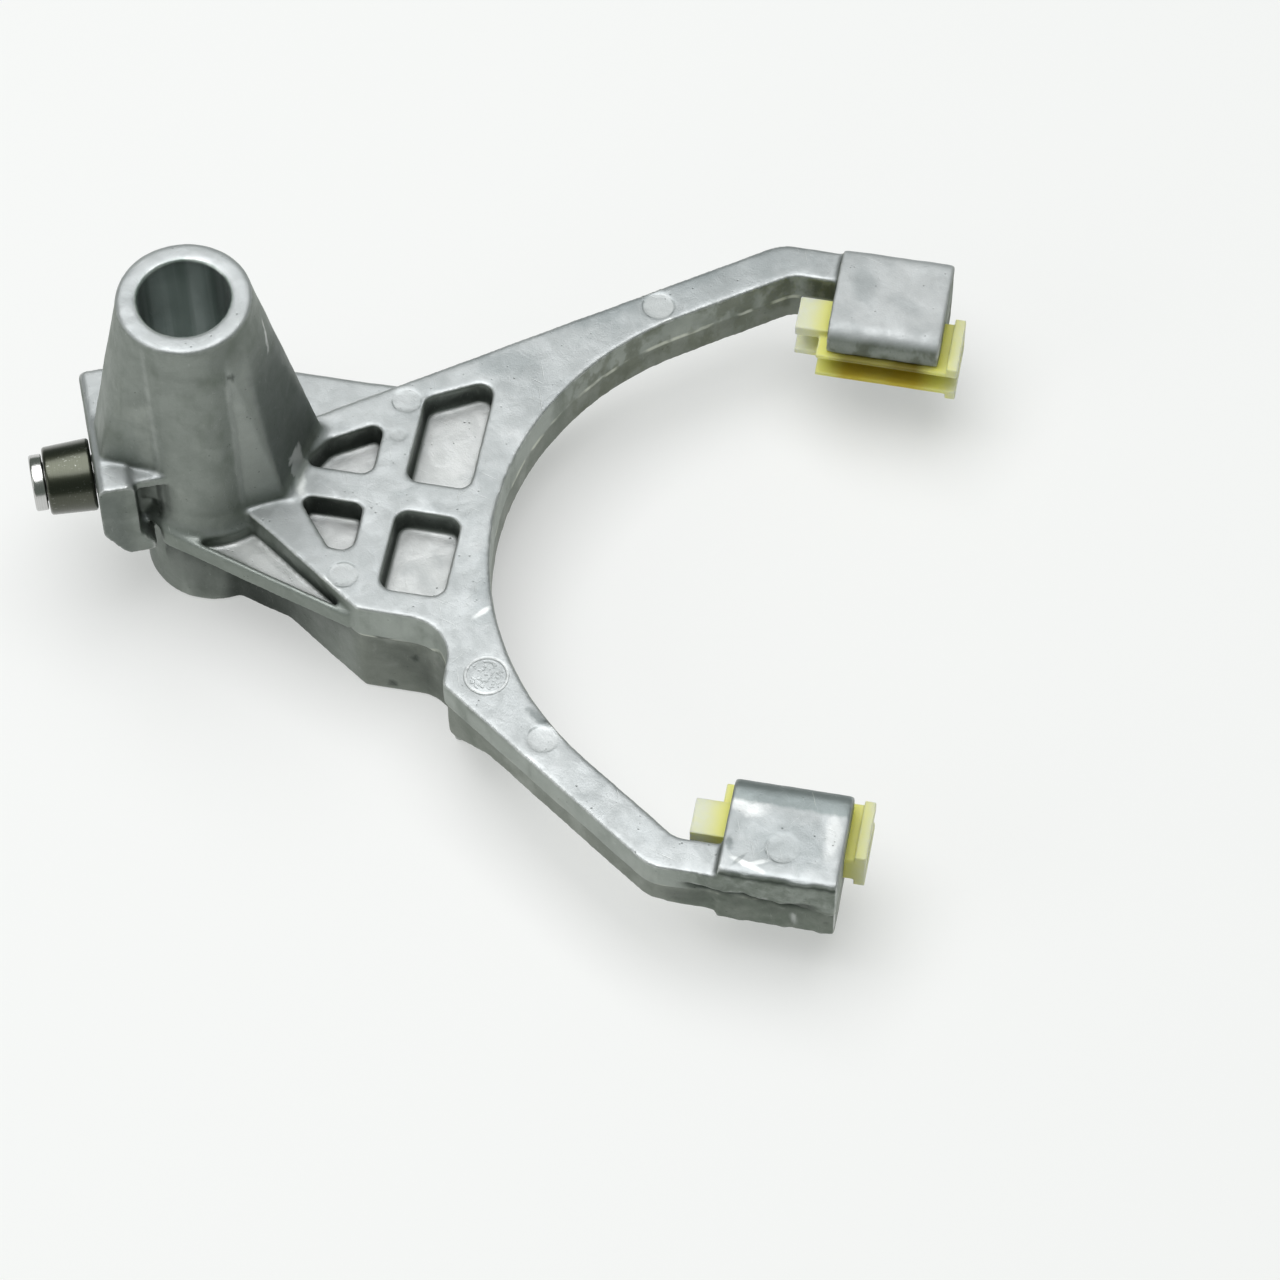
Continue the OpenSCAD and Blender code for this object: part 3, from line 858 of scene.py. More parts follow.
    def _skin(self, graph: Graph, place: object, up: object, grain: bpy.types.NodeOutputs) -> NodeSocket:
        """Colour of clean casting skin.

        Args:
            graph: the material's graph.
            place: place on the casting.
            up: mask of upper faces.
            grain: outputs of the grain group.

        Returns:
            The colour: faces, recess floors made lighter as painted light, and walls with flow patches,
                parting lines, a painted sheen beside the hub's seam and painted shade on the gusset's slope
                and the boss; the walls are darker than the faces, partly as painted shade.
        """
        x, y, height = graph.axes(place)
        parting = graph.between(x, 46 * MM, 49 * MM, self.web_parting, self.arm_parting)
        above = graph.maths("SUBTRACT", height, parting)
        halves = graph.mix(graph.between(above, -0.4 * MM, 0.4 * MM), self.wall_low, self.wall_high)
        below_top = graph.between(height, self.plate_top + 1.5 * MM, self.plate_top)
        beyond = graph.all_of(below_top, graph.between(x, 30 * MM, 34 * MM))
        flow = graph.noise(graph.stretched(place, (130, 130, 80)), 1.0, 3, 0.5, 0.25)
        drag = graph.noise(graph.stretched(place, (420, 420, 40)), 1.0, 3, 0.55)
        mottle = graph.between(graph.noise(graph.stretched(place, (260, 260, 150)), 1.0, 3, 0.6), 0.42, 0.62)
        far = graph.all_of(graph.between(y, 22 * MM, 34 * MM), beyond)
        broken = graph.between(graph.noise(place, 190.0, 2), 0.42, 0.6)
        line = graph.between(graph.maths("ABSOLUTE", above), 0.7 * MM, 0.2 * MM)
        wall = graph.layered(graph.mix(beyond, self.wall, halves), (
            (graph.between(flow, 0.5, 0.72), 0.55, self.moss),
            (graph.between(flow, 0.44, 0.28), 0.4, self.wall_light),
            (graph.between(drag, 0.52, 0.75), 0.22, self.moss),
            (graph.all_of(far, graph.between(mottle, 0, 1, 0.25, 0.75)), 1.0, self.wall_far),
            (graph.all_of(line, broken, beyond), 0.75, self.flash),
            # Painted sheen on the gusset's near side.
            (graph.trait("pale"), 0.6, self.wall_sheen),
            # Painted shade on the gusset's slope and the follower boss.
            (graph.trait("lee"), 0.6, self.lee_shade),
        ))
        low = graph.all_of(
            graph.between(height, self.floor_low, self.floor_low + 0.5 * MM),
            graph.between(height, self.floor_high, self.floor_high - 0.5 * MM),
        )
        cloud = graph.noise(place, 95.0, 4, 0.62, 0.5)
        # Recess floors lighter than the faces: painted light.
        face = graph.layered(graph.mix(low, self.face, self.floor), (
            (graph.between(cloud, 0.48, 0.7), 0.42, self.face_dull),
            (graph.between(cloud, 0.42, 0.25), 0.4, self.face_light),
            (grain["Blotch"], 0.18, self.face_blotch),
        ))
        # Faces lighter than walls: partly their finish and partly painted light and shade.
        return graph.mix(up, wall, face)

    def _stains(self, graph: Graph, place: object, up: object, colour: object) -> NodeSocket:
        """Patches, scuffs and dings of handling, two lighter patches of painted light at the web gusset's
        foot and on the near flange's recess floor, and painted shade on the near block's nose.

        Args:
            graph: the material's graph.
            place: place on the casting.
            up: mask of upper faces.
            colour: colour so far.

        Returns:
            The colour with the stains.
        """
        ragged = graph.scaled(graph.maths("SUBTRACT", graph.noise(place, 420.0, 3, 0.6), 0.5), 1.5)
        for stain in STAINS:
            colour = graph.mix(graph.all_of(stain.mask(graph, place, ragged), up), colour, stain.colour)
        x, y, height = graph.axes(place)
        edge = graph.summed(y, [(ragged, 0.9 * MM)])
        # Painted shade on the near block's nose.
        nose = graph.all_of(
            graph.between(x, 104.6 * MM, 105.4 * MM),
            graph.between(edge, self.nose_start - 0.5 * MM, self.nose_start + 0.6 * MM),
            graph.between(y, -30 * MM, -40 * MM),
            graph.between(height, 21 * MM, 23 * MM),
        )
        return graph.layered(colour, [(nose, 0.7, self.nose)])

    def _marks(
        self, graph: Graph, place: object, up: object, colour: object
    ) -> tuple[NodeSocket, NodeSocket]:
        """Round die marks on the upper faces.

        Args:
            graph: the material's graph.
            place: place on the casting.
            up: mask of upper faces.
            colour: colour so far.

        Returns:
            The colour with the marks, and their depth.
        """
        insides = (graph.scaled(mark.inside(graph, place), mark.bright) for mark in EJECTOR_MARKS)
        discs = graph.most_of(*insides)
        rims = graph.most_of(*(mark.rim(graph, place, 0.28 * MM) for mark in EJECTOR_MARKS))
        broken = graph.between(graph.noise(place, 260.0, 2), 0.46, 0.62)
        cut = graph.all_of(rims, broken, up)
        ring = graph.all_of(RING_MARK.rim(graph, place, 0.4 * MM), up)
        rough = graph.between(graph.noise(place, 900.0, 3), 0.48, 0.62)
        inner = graph.all_of(RING_FLOOR.inside(graph, place), rough, up)
        colour = graph.layered(colour, (
            (graph.all_of(discs, up), 1.0, self.disc),
            (cut, 0.55, self.disc_rim),
            (ring, 0.4, self.ring),
            (inner, 0.35, self.ring_floor),
        ))
        return colour, graph.most_of(ring, graph.scaled(inner, 0.8), graph.scaled(cut, 0.6))


@dataclass(frozen=True)
class PadNylon:
    """Moulded nylon: pale at its free ends, yellow beside the metal and amber inside the channel, where
    painted shade darkens it most under the upper lip; its free edges carry a painted highlight.
    """

    pale: Colour = (0.88, 0.90, 0.74)
    yellow: Colour = (0.90, 0.88, 0.26)
    amber: Colour = (0.66, 0.53, 0.07)
    # Dark brown of painted shade under the upper lip.
    umber_shade: Colour = (0.17, 0.125, 0.01)
    edge: Colour = (0.94, 0.94, 0.70)
    rough: float = 0.24
    bump_depth: float = 0.06 * MM
    depth: float = 1.5 * MM

    def material(self, effects: Effects) -> Material:
        """Builds the material.

        Args:
            effects: the shared groups.

        Returns:
            The material.
        """
        material, graph, shader = new_material("slide_pad_nylon")
        grain = graph.group(effects.grain, Size=0.7)
        wear_and_light = graph.group(effects.wear_and_light, Reach=1.0, Break=0.2)
        inside = graph.trait("inner")
        free = graph.maths("SUBTRACT", 1.0, inside)
        bump = graph.node(
            "ShaderNodeBump", {"Strength": 0.25, "Distance": self.bump_depth, "Height": grain["Grain"]}
        )
        graph.feed(shader, {
            "Base Color": graph.layered(self.pale, (
                (graph.trait("beside"), 1.0, self.yellow),
                (grain["Blotch"], 0.2, self.yellow),
                # Amber inside the channel, partly the nylon's own amber and partly painted shade of the slot,
                # darkest under the upper lip.
                (inside, 1.0, graph.mix(graph.trait("deep"), self.umber_shade, self.amber)),
                # Lighter free edges: painted highlight.
                (graph.all_of(wear_and_light["Edge"], free), 0.25, self.edge),
            )),
            "Roughness": graph.summed(self.rough, [(grain["Grain"], 0.16)]),
            "Subsurface Weight": 0.55,
            "Subsurface Radius": (1.0, 0.95, 0.4),
            "Subsurface Scale": self.depth,
            "Transmission Weight": 0.22,
            "IOR": 1.4,
            "Specular IOR Level": 0.12,
            "Normal": bump.outputs[0],
        })
        return material


@dataclass(frozen=True)
class TurnedSteel:
    """Turned steel, with fine rings round its axis and thin scratches."""

    name: str
    base: Colour
    dark: Colour
    rough: float
    film: float
    scratched: Colour = (0.7, 0.7, 0.68)
    rings: float = 0.1
    bump_depth: float = 0.02 * MM

    def material(self, effects: Effects) -> Material:
        """Builds the material.

        Args:
            effects: the shared groups.

        Returns:
            The material.
        """
        material, graph, shader = new_material(self.name)
        grain = graph.group(effects.grain, Size=0.5)
        scratches = graph.group(effects.scratches, Size=0.5, Amount=0.6)
        along = {"W": graph.axes(graph.place())[2], "Scale": 9000.0, "Detail": 3.0}
        rings = graph.node("ShaderNodeTexNoise", along, noise_dimensions="1D").outputs[0]
        bump = graph.node("ShaderNodeBump", {"Strength": 0.22, "Distance": self.bump_depth, "Height": rings})
        graph.feed(shader, {
            "Base Color": graph.layered(self.base, (
                (graph.between(rings, 0.3, 0.75), 1.0, self.dark),
                (grain["Blotch"], 0.35, self.dark),
                (scratches["Mask"], 0.5, self.scratched),
            )),
            "Roughness": graph.summed(self.rough, [(rings, self.rings)]),
            "Metallic": 1.0,
            "Coat Weight": self.film,
            "Coat Roughness": 0.22,
            "Normal": bump.outputs[0],
        })
        return material


class Places:
    """Places on the casting's skin, with the direction that the skin faces at each."""

    def __init__(self, points: Array, normals: Array) -> None:
        """Splits the places into their parts.

        Args:
            points: places, one row each.
            normals: outward direction at each.
        """
        self.points = points
        self.x, self.y, self.z = points.T
        self.facing_x, self.facing_y, self.facing_z = normals.T
        self.radius = np.hypot(self.x, self.y)
        self.azimuth = np.degrees(np.arctan2(self.y, self.x))

    def along(self, axis: int) -> Array:
        """The places with all but one axis set to 0, for noise that runs along that axis."""
        return self.points * np.eye(3)[axis]


@dataclass(frozen=True)
class Seam:
    """A die seam that runs down the hub, from a low to a high level."""

    azimuth: float
    low: float
    high: float
    share: float
    wander: float


@dataclass
class ForkCasting:
    """The die casting: hub, gussets, web, arms, prong blocks and follower boss in one."""

    node: str = "fork_casting"
    voxel: float = 0.40 * MM
    rounding: int = 6
    limit: int = 186_000
    block_wall: float = -67.8 * MM
    block_start: float = 104.5 * MM
    tear_level: float = 20.9 * MM
    burr_level: float = 27.4 * MM
    dents: tuple[Point, ...] = ((120.6, 20.4, 2.1), (102.4, 21.4, 1.9), (98.0, 16.0, 1.0))
    ding: tuple[float, float] = (119.2 * MM, 15.9 * MM)
    hub_seams: tuple[Seam, ...] = (Seam(-114.0, 24, 76, 0.8, 0.6), Seam(-43.5, 26, 66, 1.0, 1.4))
    seam_rise: float = 0.14 * MM
    mark_depth: float = 0.09 * MM
    hub_radius: float = 12.0 * MM
    hook_level: float = 66.6 * MM
    shelter_reach: float = 30 * MM
    pockets: tuple[Point, Point] = ((0.014, -0.0235, 0.0206), (0.062, 0.034, 0.0264))
    wall_pits: tuple[tuple[Point, float], ...] = (
        ((0.0432, -0.0249, 0.0120), 1.2),
        ((0.0388, -0.0249, 0.0022), 1.5),
        ((0.0372, -0.0253, 0.0178), 1.0),
        ((0.0386, -0.0253, 0.0178), 0.8),
    )
    lip_start: tuple[float, float] = (-0.004, -0.0132)
    lip_stop: tuple[float, float] = (0.0300, -0.0253)

    def build(self) -> Object:
        """Shapes the casting's skin.

        Returns:
            The object.
        """
        skin = Skin.of_node(self.node, self.voxel)
        skin.relax(self.rounding)
        normals = skin.normals()
        self._level_marks(skin.points, normals)
        at = Places(skin.points, normals)
        torn, seams = self._torn(at), self._seams(at)
        depth, crack, glints = self._tears(at, torn)
        skin.push(self._waves(at) + depth - self.seam_rise * seams, normals)
        traits = edge_traits(skin.bend(2) / self.voxel)
        at = Places(skin.points, skin.normals())
        # Painted highlights join the worn edges.
        traits["edge"] = np.maximum(traits["edge"], self._painted_highlights(at))
        traits |= {
            "up": smooth_step(0.35, 0.85, at.facing_z),
            "torn": torn,
            "crack": np.maximum.reduce([crack, self._hook(at), self._pits(at)]),
            "seam": np.maximum(seams, glints),
            "lee": self._lee(at),
            "pale": self._pale(at),
            "under": self._under(at),
            "dulled": self._far_block(at),
            "lip": self._lip(at),
        }
        piece = object_of(skin, "fork_casting_skin", self.limit, traits)
        # Painted shade where the casting hides the sky from itself, weaker beside the follower boss.
        hidden = shelter(piece.data, self.shelter_reach, self.pockets)
        beside_boss = read(piece.data.vertices, "co", 3)[:, 0] < -6 * MM
        add_trait(piece.data, "shelter", np.where(beside_boss, 0.55 * hidden, hidden))
        return piece

    def _level_marks(self, points: Array, normals: Array) -> None:
        """Makes the floor of each round die mark level, just below the face round it.

        Args:
            points: points of the casting, which are moved.
            normals: outward direction at each.
        """
        for mark in EJECTOR_MARKS:
            away = np.hypot(points[:, 0] - mark.centre[0], points[:, 1] - mark.centre[1])
            face = mark.centre[2] + 0.2 * MM
            near = (away < mark.radius + 1.0 * MM) & (np.abs(points[:, 2] - face) < 0.6 * MM)
            near &= normals[:, 2] > 0.8
            sunk = self.mark_depth * smooth_step(mark.radius + 0.2 * MM, mark.radius - 0.2 * MM, away)
            points[near, 2] = face - sunk[near]

    @staticmethod
    def _far_block(at: Places) -> Array:
        """Share of the far prong's block."""
        return rise(at.x, 104, 106) * rise(at.y, 30, 40)

    @staticmethod
    def _lee(at: Places) -> Array:
        """Share of painted shade on the web gusset's slope that faces +X and on the follower boss."""
        slope = smooth_step(0.6, 0.85, at.facing_x) * smooth_step(0.62, 0.35, np.abs(at.facing_y))
        return np.maximum(slope * band(at.z, 28, 31, 56, 72), 0.8 * rise(at.x, -8, -12) * rise(at.z, 41, 36))

    @staticmethod
    def _under(at: Places) -> Array:
        """Share of painted shade on the web's wall under the near flange, most beside the hub."""
        below = rise(at.z, 18.6, 17.4) * rise(at.y, -8, -11)
        return band(at.x, 2, 7, 10, 30) * below * smooth_step(-0.2, -0.6, at.facing_y)

    def _lip(self, at: Places) -> Array:
        """Share of the near flange's dull outer lip.

        Args:
            at: places on the casting.

        Returns:
            The share at each.
        """
        run = np.subtract(self.lip_stop, self.lip_start)
        off = at.points[:, :2] - self.lip_start
        off = off - np.clip(off @ run / (run @ run), 0, 1)[:, None] * run
        return rise(np.hypot(*off.T), 2.4, 1.5) * band(at.z, 17.5, 19.5, 24.4, 25.2)

    def _pale(self, at: Places) -> Array:
        """Share of painted sheen on the web gusset's near side, beside the hub's seam.

        Args:
            at: places on the casting.

        Returns:
            The share at each.
        """
        beside = smooth_step(-46, -42, at.azimuth) * smooth_step(8, -8, at.azimuth)
        beside *= smooth_step(-0.2, -0.5, at.facing_y) * band(at.z, 27, 33, 66, 74)
        return beside * smooth_step(self.hub_radius - 1 * MM, self.hub_radius - 0.5 * MM, at.radius)

    @staticmethod
    def _painted_highlights(at: Places) -> Array:
        """Painted highlights on the web gusset's foot and upper near edge, and down the notch's corner.

        Args:
            at: places on the casting.

        Returns:
            The share at each.
        """
        x, y, z = at.x, at.y, at.z
        slope = smooth_step(0.3, 0.5, at.facing_x) * (x > 11 * MM) * (x < 20 * MM)
        ragged = 0.9 * MM * LatticeNoise(43).at(at.points, 2.0 * MM)
        foot = rise(z, 26.6, 27.2) * rise(z + ragged, 34.5, 32)
        foot *= rise(y + ragged, -1.4, -0.4) * rise(y - ragged, 4.4, 3)
        off = np.abs(y - 1.6 * MM - 0.2 * (z - 62.5 * MM))
        line = rise(off, 0.6, 0.2) * band(z, 61, 63, 69, 71)
        corner = rise(np.abs(x - 34.9 * MM - 0.07 * z), 1.1, 0.2) * rise(z, 17, 14)
        corner *= (y < -24.2 * MM) * (y > -26 * MM) * smooth_step(-0.6, -0.9, at.facing_y)
        return np.maximum(slope * np.maximum(foot, 0.8 * line), 0.34 * corner)

    def _pits(self, at: Places) -> Array:
        """Share of the dark pits on the notch's wall."""
        away = [(np.linalg.norm(at.points - centre, axis=1), size) for centre, size in self.wall_pits]
        return 0.8 * np.maximum.reduce([rise(far, size, 0.4 * size) for far, size in away])

    def _hook(self, at: Places) -> Array:
        """Share of the small dark hook at the top of the hub's seam.

        Args:
            at: places on the casting.

        Returns:
            The share at each.
        """
        along = smooth_step(-47, -44, at.azimuth) * smooth_step(-35, -39, at.azimuth)
        level = np.abs(at.z - self.hook_level + 0.06 * MM * (at.azimuth + 41))
        on_hub = np.abs(at.radius - self.hub_radius) < 1.0 * MM
        return 0.7 * along * rise(level, 0.75, 0.25) * on_hub

    def _waves(self, at: Places) -> Array:
        """Slight unevenness in metres that a cast surface has, most on the far block."""
        broad, fine = LatticeNoise(11).at(at.points, 7 * MM), LatticeNoise(12).at(at.points, 2.2 * MM)
        far = 0.08 * self._far_block(at) * LatticeNoise(13).at(at.points, 4.0 * MM)
        return MM * (0.09 * broad + 0.03 * fine + far)

    def _torn(self, at: Places) -> Array:
        """Share of torn skin at the gate on the near block's outer wall."""
        along = smooth_step(self.block_start - 9 * MM, self.block_start + 1 * MM, at.x)
        return smooth_step(0.5, 0.9, -at.facing_y) * along * (at.y < self.block_wall + 7 * MM)

    def _tears(self, at: Places, torn: Array) -> tuple[Array, Array, Array]:
        """Shape of the torn skin.

        Args:
            at: places on the casting.
            torn: share of torn skin at each.

        Returns:
            Depth of the skin in metres, the share of the crack along it, and the share of painted highlight
            on the torn lip and the ding.
        """
        x, z, line = at.x, at.z, at.along(0)
        level = self.tear_level - 0.11 * (x - 110 * MM) + 0.8 * MM * LatticeNoise(21).at(line, 3.5 * MM)
        above = z - level
        width = (0.75 + 0.55 * LatticeNoise(23).at(line, 2.5 * MM)) * MM
        crack = np.exp(-((above / np.maximum(width, 0.12 * MM)) ** 2)) * band(x, 98, 101, 118, 121)
        burr = np.exp(-(((z - self.burr_level) / MM - 0.3 * LatticeNoise(24).at(line, 2 * MM)) / 0.4) ** 2)
        burr *= rise(x, 105, 106.5)
        scar = band(above, -5.5, -2.0, -0.4, 0.4)
        away = [(np.hypot((x - at_x * MM) / 1.8, z - at_z * MM), size) for at_x, at_z, size in self.dents]
        dents = np.maximum.reduce([rise(far, size, 0.3 * size) for far, size in away])
        rough = LatticeNoise(22).at(at.points, 1.6 * MM) + 1.4 * LatticeNoise(26).at(at.points, 4.5 * MM)
        glints = np.exp(-(((above / MM) - 1.15) / 0.35) ** 2) * band(x, 103, 105, 116, 119)
        glints *= smooth_step(0.0, 0.5, LatticeNoise(25).at(line, 1.4 * MM))
        ding_x, ding_z = self.ding
        ding = rise(np.hypot(x - ding_x + 0.15 * (z - ding_z), (z - ding_z) / 2.8), 0.75, 0.25)
        depth = 0.6 * crack + 0.4 * scar + 0.45 * dents + 0.2 * rough + 0.15 * burr + 0.25 * ding
        dark = np.clip(crack + 0.75 * dents + 0.8 * burr, 0, 1)
        return torn * depth * MM, torn * dark, torn * np.maximum(2.0 * glints, 1.5 * ding)

    def _seams(self, at: Places) -> Array:
        """Share of the die seams that run down the hub.

        Args:
            at: places on the casting.

        Returns:
            The share at each.
        """
        on_hub = smooth_step(self.hub_radius + 1.2 * MM, self.hub_radius + 0.7 * MM, at.radius)
        on_hub *= at.radius > self.hub_radius - 1 * MM
        drift = LatticeNoise(41).at(at.along(2), 6 * MM)
        fade = np.clip(0.6 + 0.5 * LatticeNoise(42).at(at.along(2), 4 * MM), 0.15, 1)
        shown = np.zeros(len(at.points))
        for seam in self.hub_seams:
            turn = at.azimuth - seam.azimuth - seam.wander * drift
            away = np.radians(np.abs((turn + 180) % 360 - 180)) * self.hub_radius
            ends = band(at.z, seam.low, seam.low + 6, seam.high - 2, seam.high)
            shown += seam.share * fade * ends * rise(away, 0.75, 0.1)
        return shown * on_hub


@dataclass
class SlidePad:
    """A nylon channel that lines one prong's slot."""

    prong: Prong
    node: str
    voxel: float = 0.17 * MM
    rounding: int = 5
    limit: int = 40_000
    block_middle: float = 116.0 * MM
    block_half: float = 10.4 * MM
    lip_high: float = 22.0
    lip_low: float = 18.0
    wave_height: float = 0.03 * MM

    def build(self) -> Object:
        """Shapes the pad's skin.

        Returns:
            The object.
        """
        skin = Skin.of_node(self.node, self.voxel)
        skin.relax(self.rounding)
        waves = LatticeNoise(31 + self.prong.value)
        skin.push(self.wave_height * waves.at(skin.points, 3 * MM), skin.normals())
        off = np.abs(skin.points[:, 0] - self.block_middle) - self.block_half
        inner = rise(off, 0.5, -4.5) * (0.9 + 0.2 * waves.at(skin.points, 5 * MM))
        traits = edge_traits(skin.bend(2) / self.voxel) | {
            "beside": rise(off, 5, 0),
            "inner": np.clip(inner, 0, 1),
            "deep": rise(skin.points[:, 2], self.lip_high, self.lip_low),
        }
        return object_of(skin, self.node + "_skin", self.limit, traits)


@dataclass
class CamFollower:
    """The headed pin pressed into the boss, and the roller that turns on it."""

    centre: Point = (0.0, 0.0, 29.0 * MM)
    swing: float = 21.5
    pin_radius: float = 3.5 * MM
    pin_root: float = 10.1 * MM
    head_start: float = 29.0 * MM
    head_thick: float = 2.3 * MM
    head_radius: float = 5.1 * MM
    dish_depth: float = 0.4 * MM
    roller_start: float = 20.2 * MM
    roller_end: float = 28.8 * MM
    roller_big: float = 6.6 * MM
    roller_small: float = 6.15 * MM
    roller_bore: float = 3.55 * MM
    sides: int = 160

    def _turned(self, name: str, corners: list[tuple[float, float, float]]) -> Object:
        """Turns a section about the pin's axis.

        Args:
            name: name of the piece.
            corners: corners of the section as (radius, height, rounding), in order.

        Returns:
            The object, in the scene.
        """
        mesh = lathed(name, rounded_profile(corners), self.sides)
        mesh.shade_smooth()
        piece = in_scene(name, mesh)
        level = Matrix.Rotation(math.radians(90), 4, "Y")
        turn = Matrix.Rotation(math.radians(180 + self.swing), 4, "Z") @ level
        piece.matrix_world = Matrix.Translation(self.centre) @ turn
        return piece

    def pin(self) -> Object:
        """Turns the headed pin, which has a shallow dish in its head.

        Returns:
            The object.
        """
        top = self.head_start + self.head_thick
        return self._turned("follower_pin_turned", [
            (0, self.pin_root, 0),
            (self.pin_radius, self.pin_root, 0.4 * MM),
            (self.pin_radius, self.head_start, 0.15 * MM),
            (self.head_radius, self.head_start, 0.3 * MM),
            (self.head_radius, top, 0.55 * MM),
            (self.head_radius * 0.6, top, 0.3 * MM),
            (self.head_radius * 0.5, top - 0.35 * MM, 0.3 * MM),
            (0, top - self.dish_depth, 0),
        ])

    def roller(self) -> Object:
        """Turns the tapered roller.

        Returns:
            The object.
        """
        return self._turned("follower_roller_turned", [
            (self.roller_bore, self.roller_start, 0.25 * MM),
            (self.roller_big, self.roller_start, 0.7 * MM),
            (self.roller_small, self.roller_end, 0.7 * MM),
            (self.roller_bore, self.roller_end, 0.25 * MM),
        ])


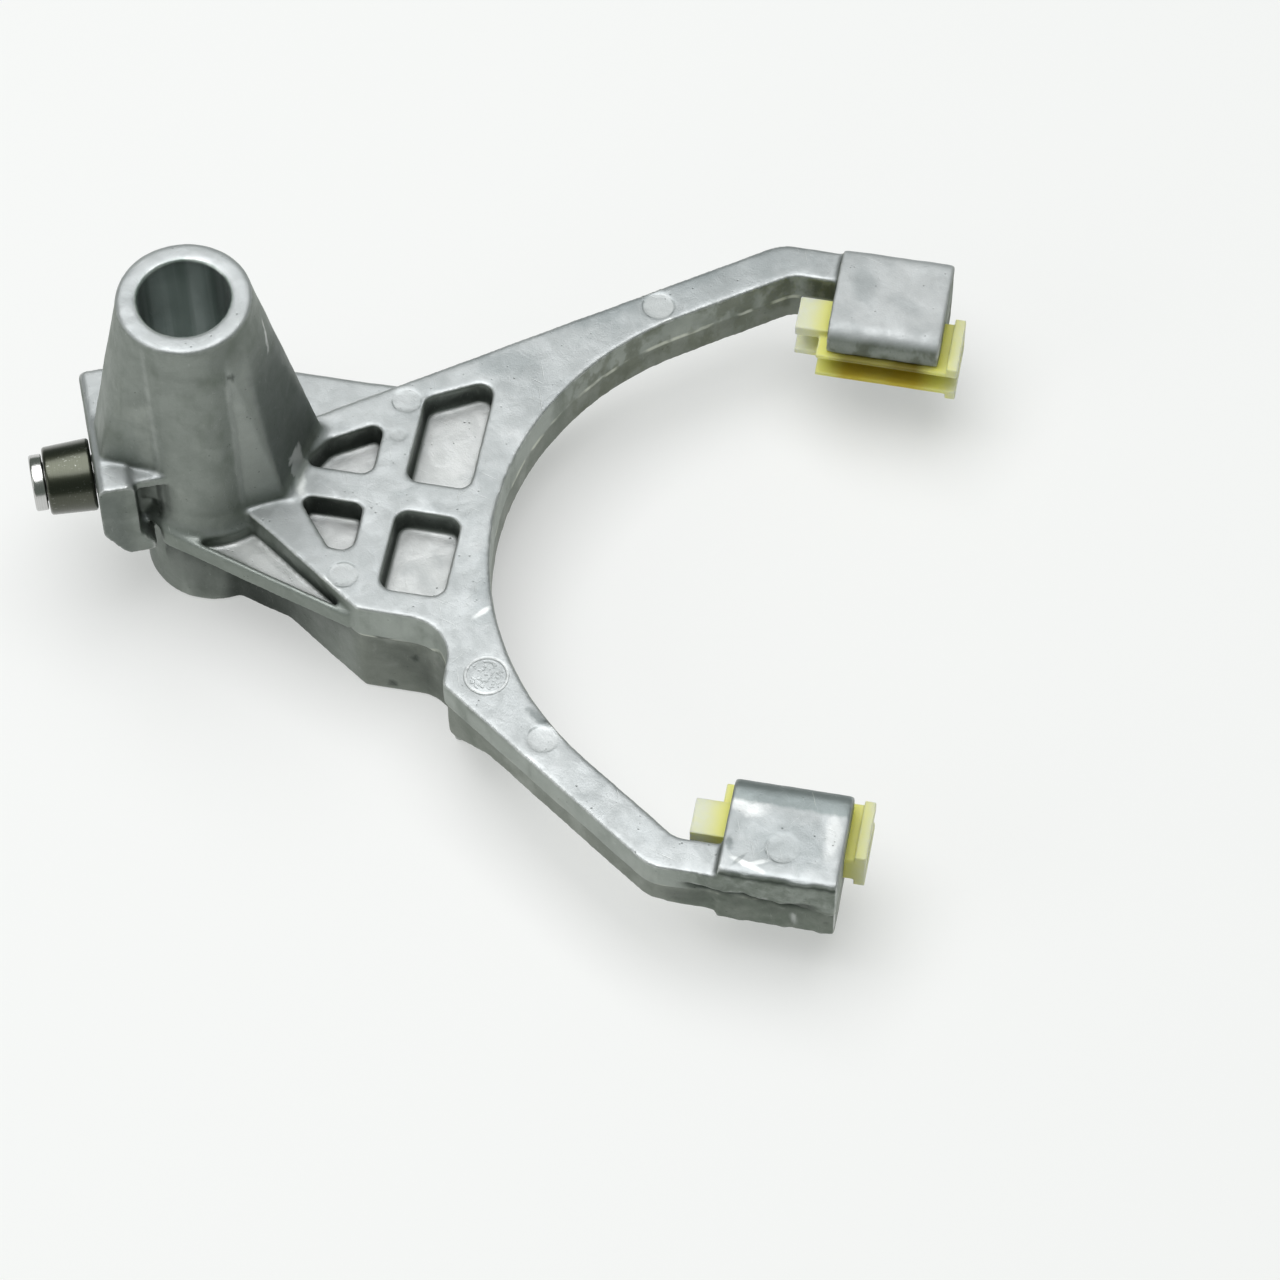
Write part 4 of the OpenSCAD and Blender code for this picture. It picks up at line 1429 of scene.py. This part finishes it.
@dataclass
class Studio:
    """Pale floor, soft lamps and the camera."""

    aim: Point = (112.35 * MM, 0.0, 26.5 * MM)
    azimuth: float = 10.8
    elevation: float = 57.5
    roll: float = -0.3
    distance: float = 880.0 * MM
    aside: tuple[float, float] = (-32.09 * MM, -14.62 * MM)
    lens: float = 138.85
    floor_half: float = 6.0
    floor_drop: float = 0.15 * MM
    floor_colour: Colour = (0.93, 0.925, 0.93)
    floor_tint: Colour = (0.935, 0.93, 0.935)
    floor_glow: Colour = (0.94, 0.95, 0.937)
    floor_share: float = 0.45
    fill: Colour = (0.15, 0.175, 0.155)
    lamp_aim: Point = (0.06, 0.0, 0.0)
    lamp_size: float = 1.3
    lamp_away: float = 1.3
    lamp_glow: float = 3.3
    lamp_side: Point = (-0.12, 0.06, 1.0)
    front_size: float = 0.9
    front_away: float = 1.5
    front_glow: float = 0.9
    front_side: Point = (-0.75, -0.55, 0.45)

    def build(self) -> None:
        """Makes the floor, the lights and the camera."""
        self._floor()
        self._lights()
        self._camera()
        bpy.context.scene.view_settings.view_transform = "Standard"

    def _floor(self) -> None:
        """Lays the floor just under the part."""
        mesh = bpy.data.meshes.new("floor")
        half, low = self.floor_half, -self.floor_drop
        corners = [(x * half, y * half, low) for x, y in ((-1, -1), (1, -1), (1, 1), (-1, 1))]
        mesh.from_pydata(corners, [], [(0, 1, 2, 3)])
        floor = in_scene("floor", mesh)
        material, graph, shader = new_material("pale_floor")
        tint = graph.between(graph.noise(graph.place(), 3.0, 2), 0.3, 0.7)
        base = graph.mix(tint, self.floor_colour, self.floor_tint)
        graph.feed(shader, {"Base Color": base, "Roughness": 0.9, "Specular IOR Level": 0.1})
        rays = graph.node("ShaderNodeLightPath").outputs
        seen = graph.most_of(rays["Is Camera Ray"], rays["Is Glossy Ray"], rays["Is Transmission Ray"])
        glow = graph.node("ShaderNodeEmission", {"Color": self.floor_glow})
        share = graph.scaled(seen, self.floor_share)
        both = graph.node("ShaderNodeMixShader", {0: share, 1: shader.outputs[0], 2: glow.outputs[0]})
        graph.feed(material.node_tree.nodes["Material Output"], {"Surface": both.outputs[0]})
        mesh.materials.append(material)

    def _lamp(self, name: str, size: float, away: float, glow: float, side: Point) -> None:
        """Hangs a square soft lamp that faces the part.

        Args:
            name: name of the lamp.
            size: length of a side in metres.
            away: distance from the part in metres.
            glow: brightness of its face.
            side: direction from the part to the lamp.
        """
        lamp = bpy.data.lights.new(name, "AREA")
        lamp.shape = "SQUARE"
        lamp.size = size
        lamp.energy = glow * math.pi * size**2
        holder = in_scene(name, lamp)
        to_lamp = Vector(side).normalized()
        holder.location = to_lamp * away + Vector(self.lamp_aim)
        holder.rotation_mode = "QUATERNION"
        holder.rotation_quaternion = (-to_lamp).to_track_quat("-Z", "Y")

    def _lights(self) -> None:
        """Hangs the soft lamps and sets the dim room round them."""
        self._lamp("softbox", self.lamp_size, self.lamp_away, self.lamp_glow, self.lamp_side)
        self._lamp("front_softbox", self.front_size, self.front_away, self.front_glow, self.front_side)
        world = bpy.data.worlds.new("room")
        world.use_nodes = True
        world.node_tree.nodes["Background"].inputs["Color"].default_value = (*self.fill, 1.0)
        bpy.context.scene.world = world

    def _camera(self) -> None:
        """Places the camera where the photograph was taken from."""
        a, e, r = (math.radians(x) for x in (self.azimuth, self.elevation, self.roll))
        right = Vector((math.cos(a), math.sin(a), 0))
        back = Vector((math.sin(a) * math.cos(e), -math.cos(a) * math.cos(e), math.sin(e)))
        up = back.cross(right)
        right, up = math.cos(r) * right + math.sin(r) * up, math.cos(r) * up - math.sin(r) * right
        data = bpy.data.cameras.new("camera")
        data.lens = self.lens
        data.sensor_width = 36.0
        data.clip_start, data.clip_end = 0.05, 30.0
        camera = in_scene("camera", data)
        turn = Matrix((right, up, back)).transposed().to_4x4()
        place = Vector(self.aim) + right * self.aside[0] + up * self.aside[1] + back * self.distance
        camera.matrix_world = Matrix.Translation(place) @ turn
        bpy.context.scene.camera = camera


def settle(piece: Object, node: str, body: Body, material: Material) -> None:
    """Dresses a piece and sets it in place of its solid.

    Args:
        piece: the piece.
        node: node that it stands for.
        body: body that it rides on.
        material: its material.
    """
    piece.data.materials.clear()
    piece.data.materials.append(material)
    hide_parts(node)
    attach(piece, body.value)
    LOG.info("%s: %d points, %d faces", piece.name, len(piece.data.vertices), len(piece.data.polygons))


def main() -> None:
    """Builds the pieces, the studio and the note of both sizes."""
    logging.basicConfig(level=logging.INFO, format="%(name)s %(message)s")
    effects = Effects()
    casting = CastAluminium().material(effects)
    settle(ForkCasting().build(), "fork_casting", Body.FORK, casting)
    nylon = PadNylon().material(effects)
    for prong, node in ((Prong.FAR, "left_slide_pad"), (Prong.NEAR, "right_slide_pad")):
        settle(SlidePad(prong, node).build(), node, Body.FORK, nylon)
    follower = CamFollower()
    bright = TurnedSteel("polished_pin_steel", (0.62, 0.62, 0.61), (0.50, 0.50, 0.49), 0.17, 0.0)
    olive = TurnedSteel("hardened_roller_steel", (0.064, 0.069, 0.047), (0.050, 0.054, 0.035), 0.26, 0.8)
    settle(follower.pin(), "follower_pin", Body.FORK, bright.material(effects))
    settle(follower.roller(), "follower_roller", Body.ROLLER, olive.material(effects))
    Studio().build()


if __name__ == "__main__":
    main()
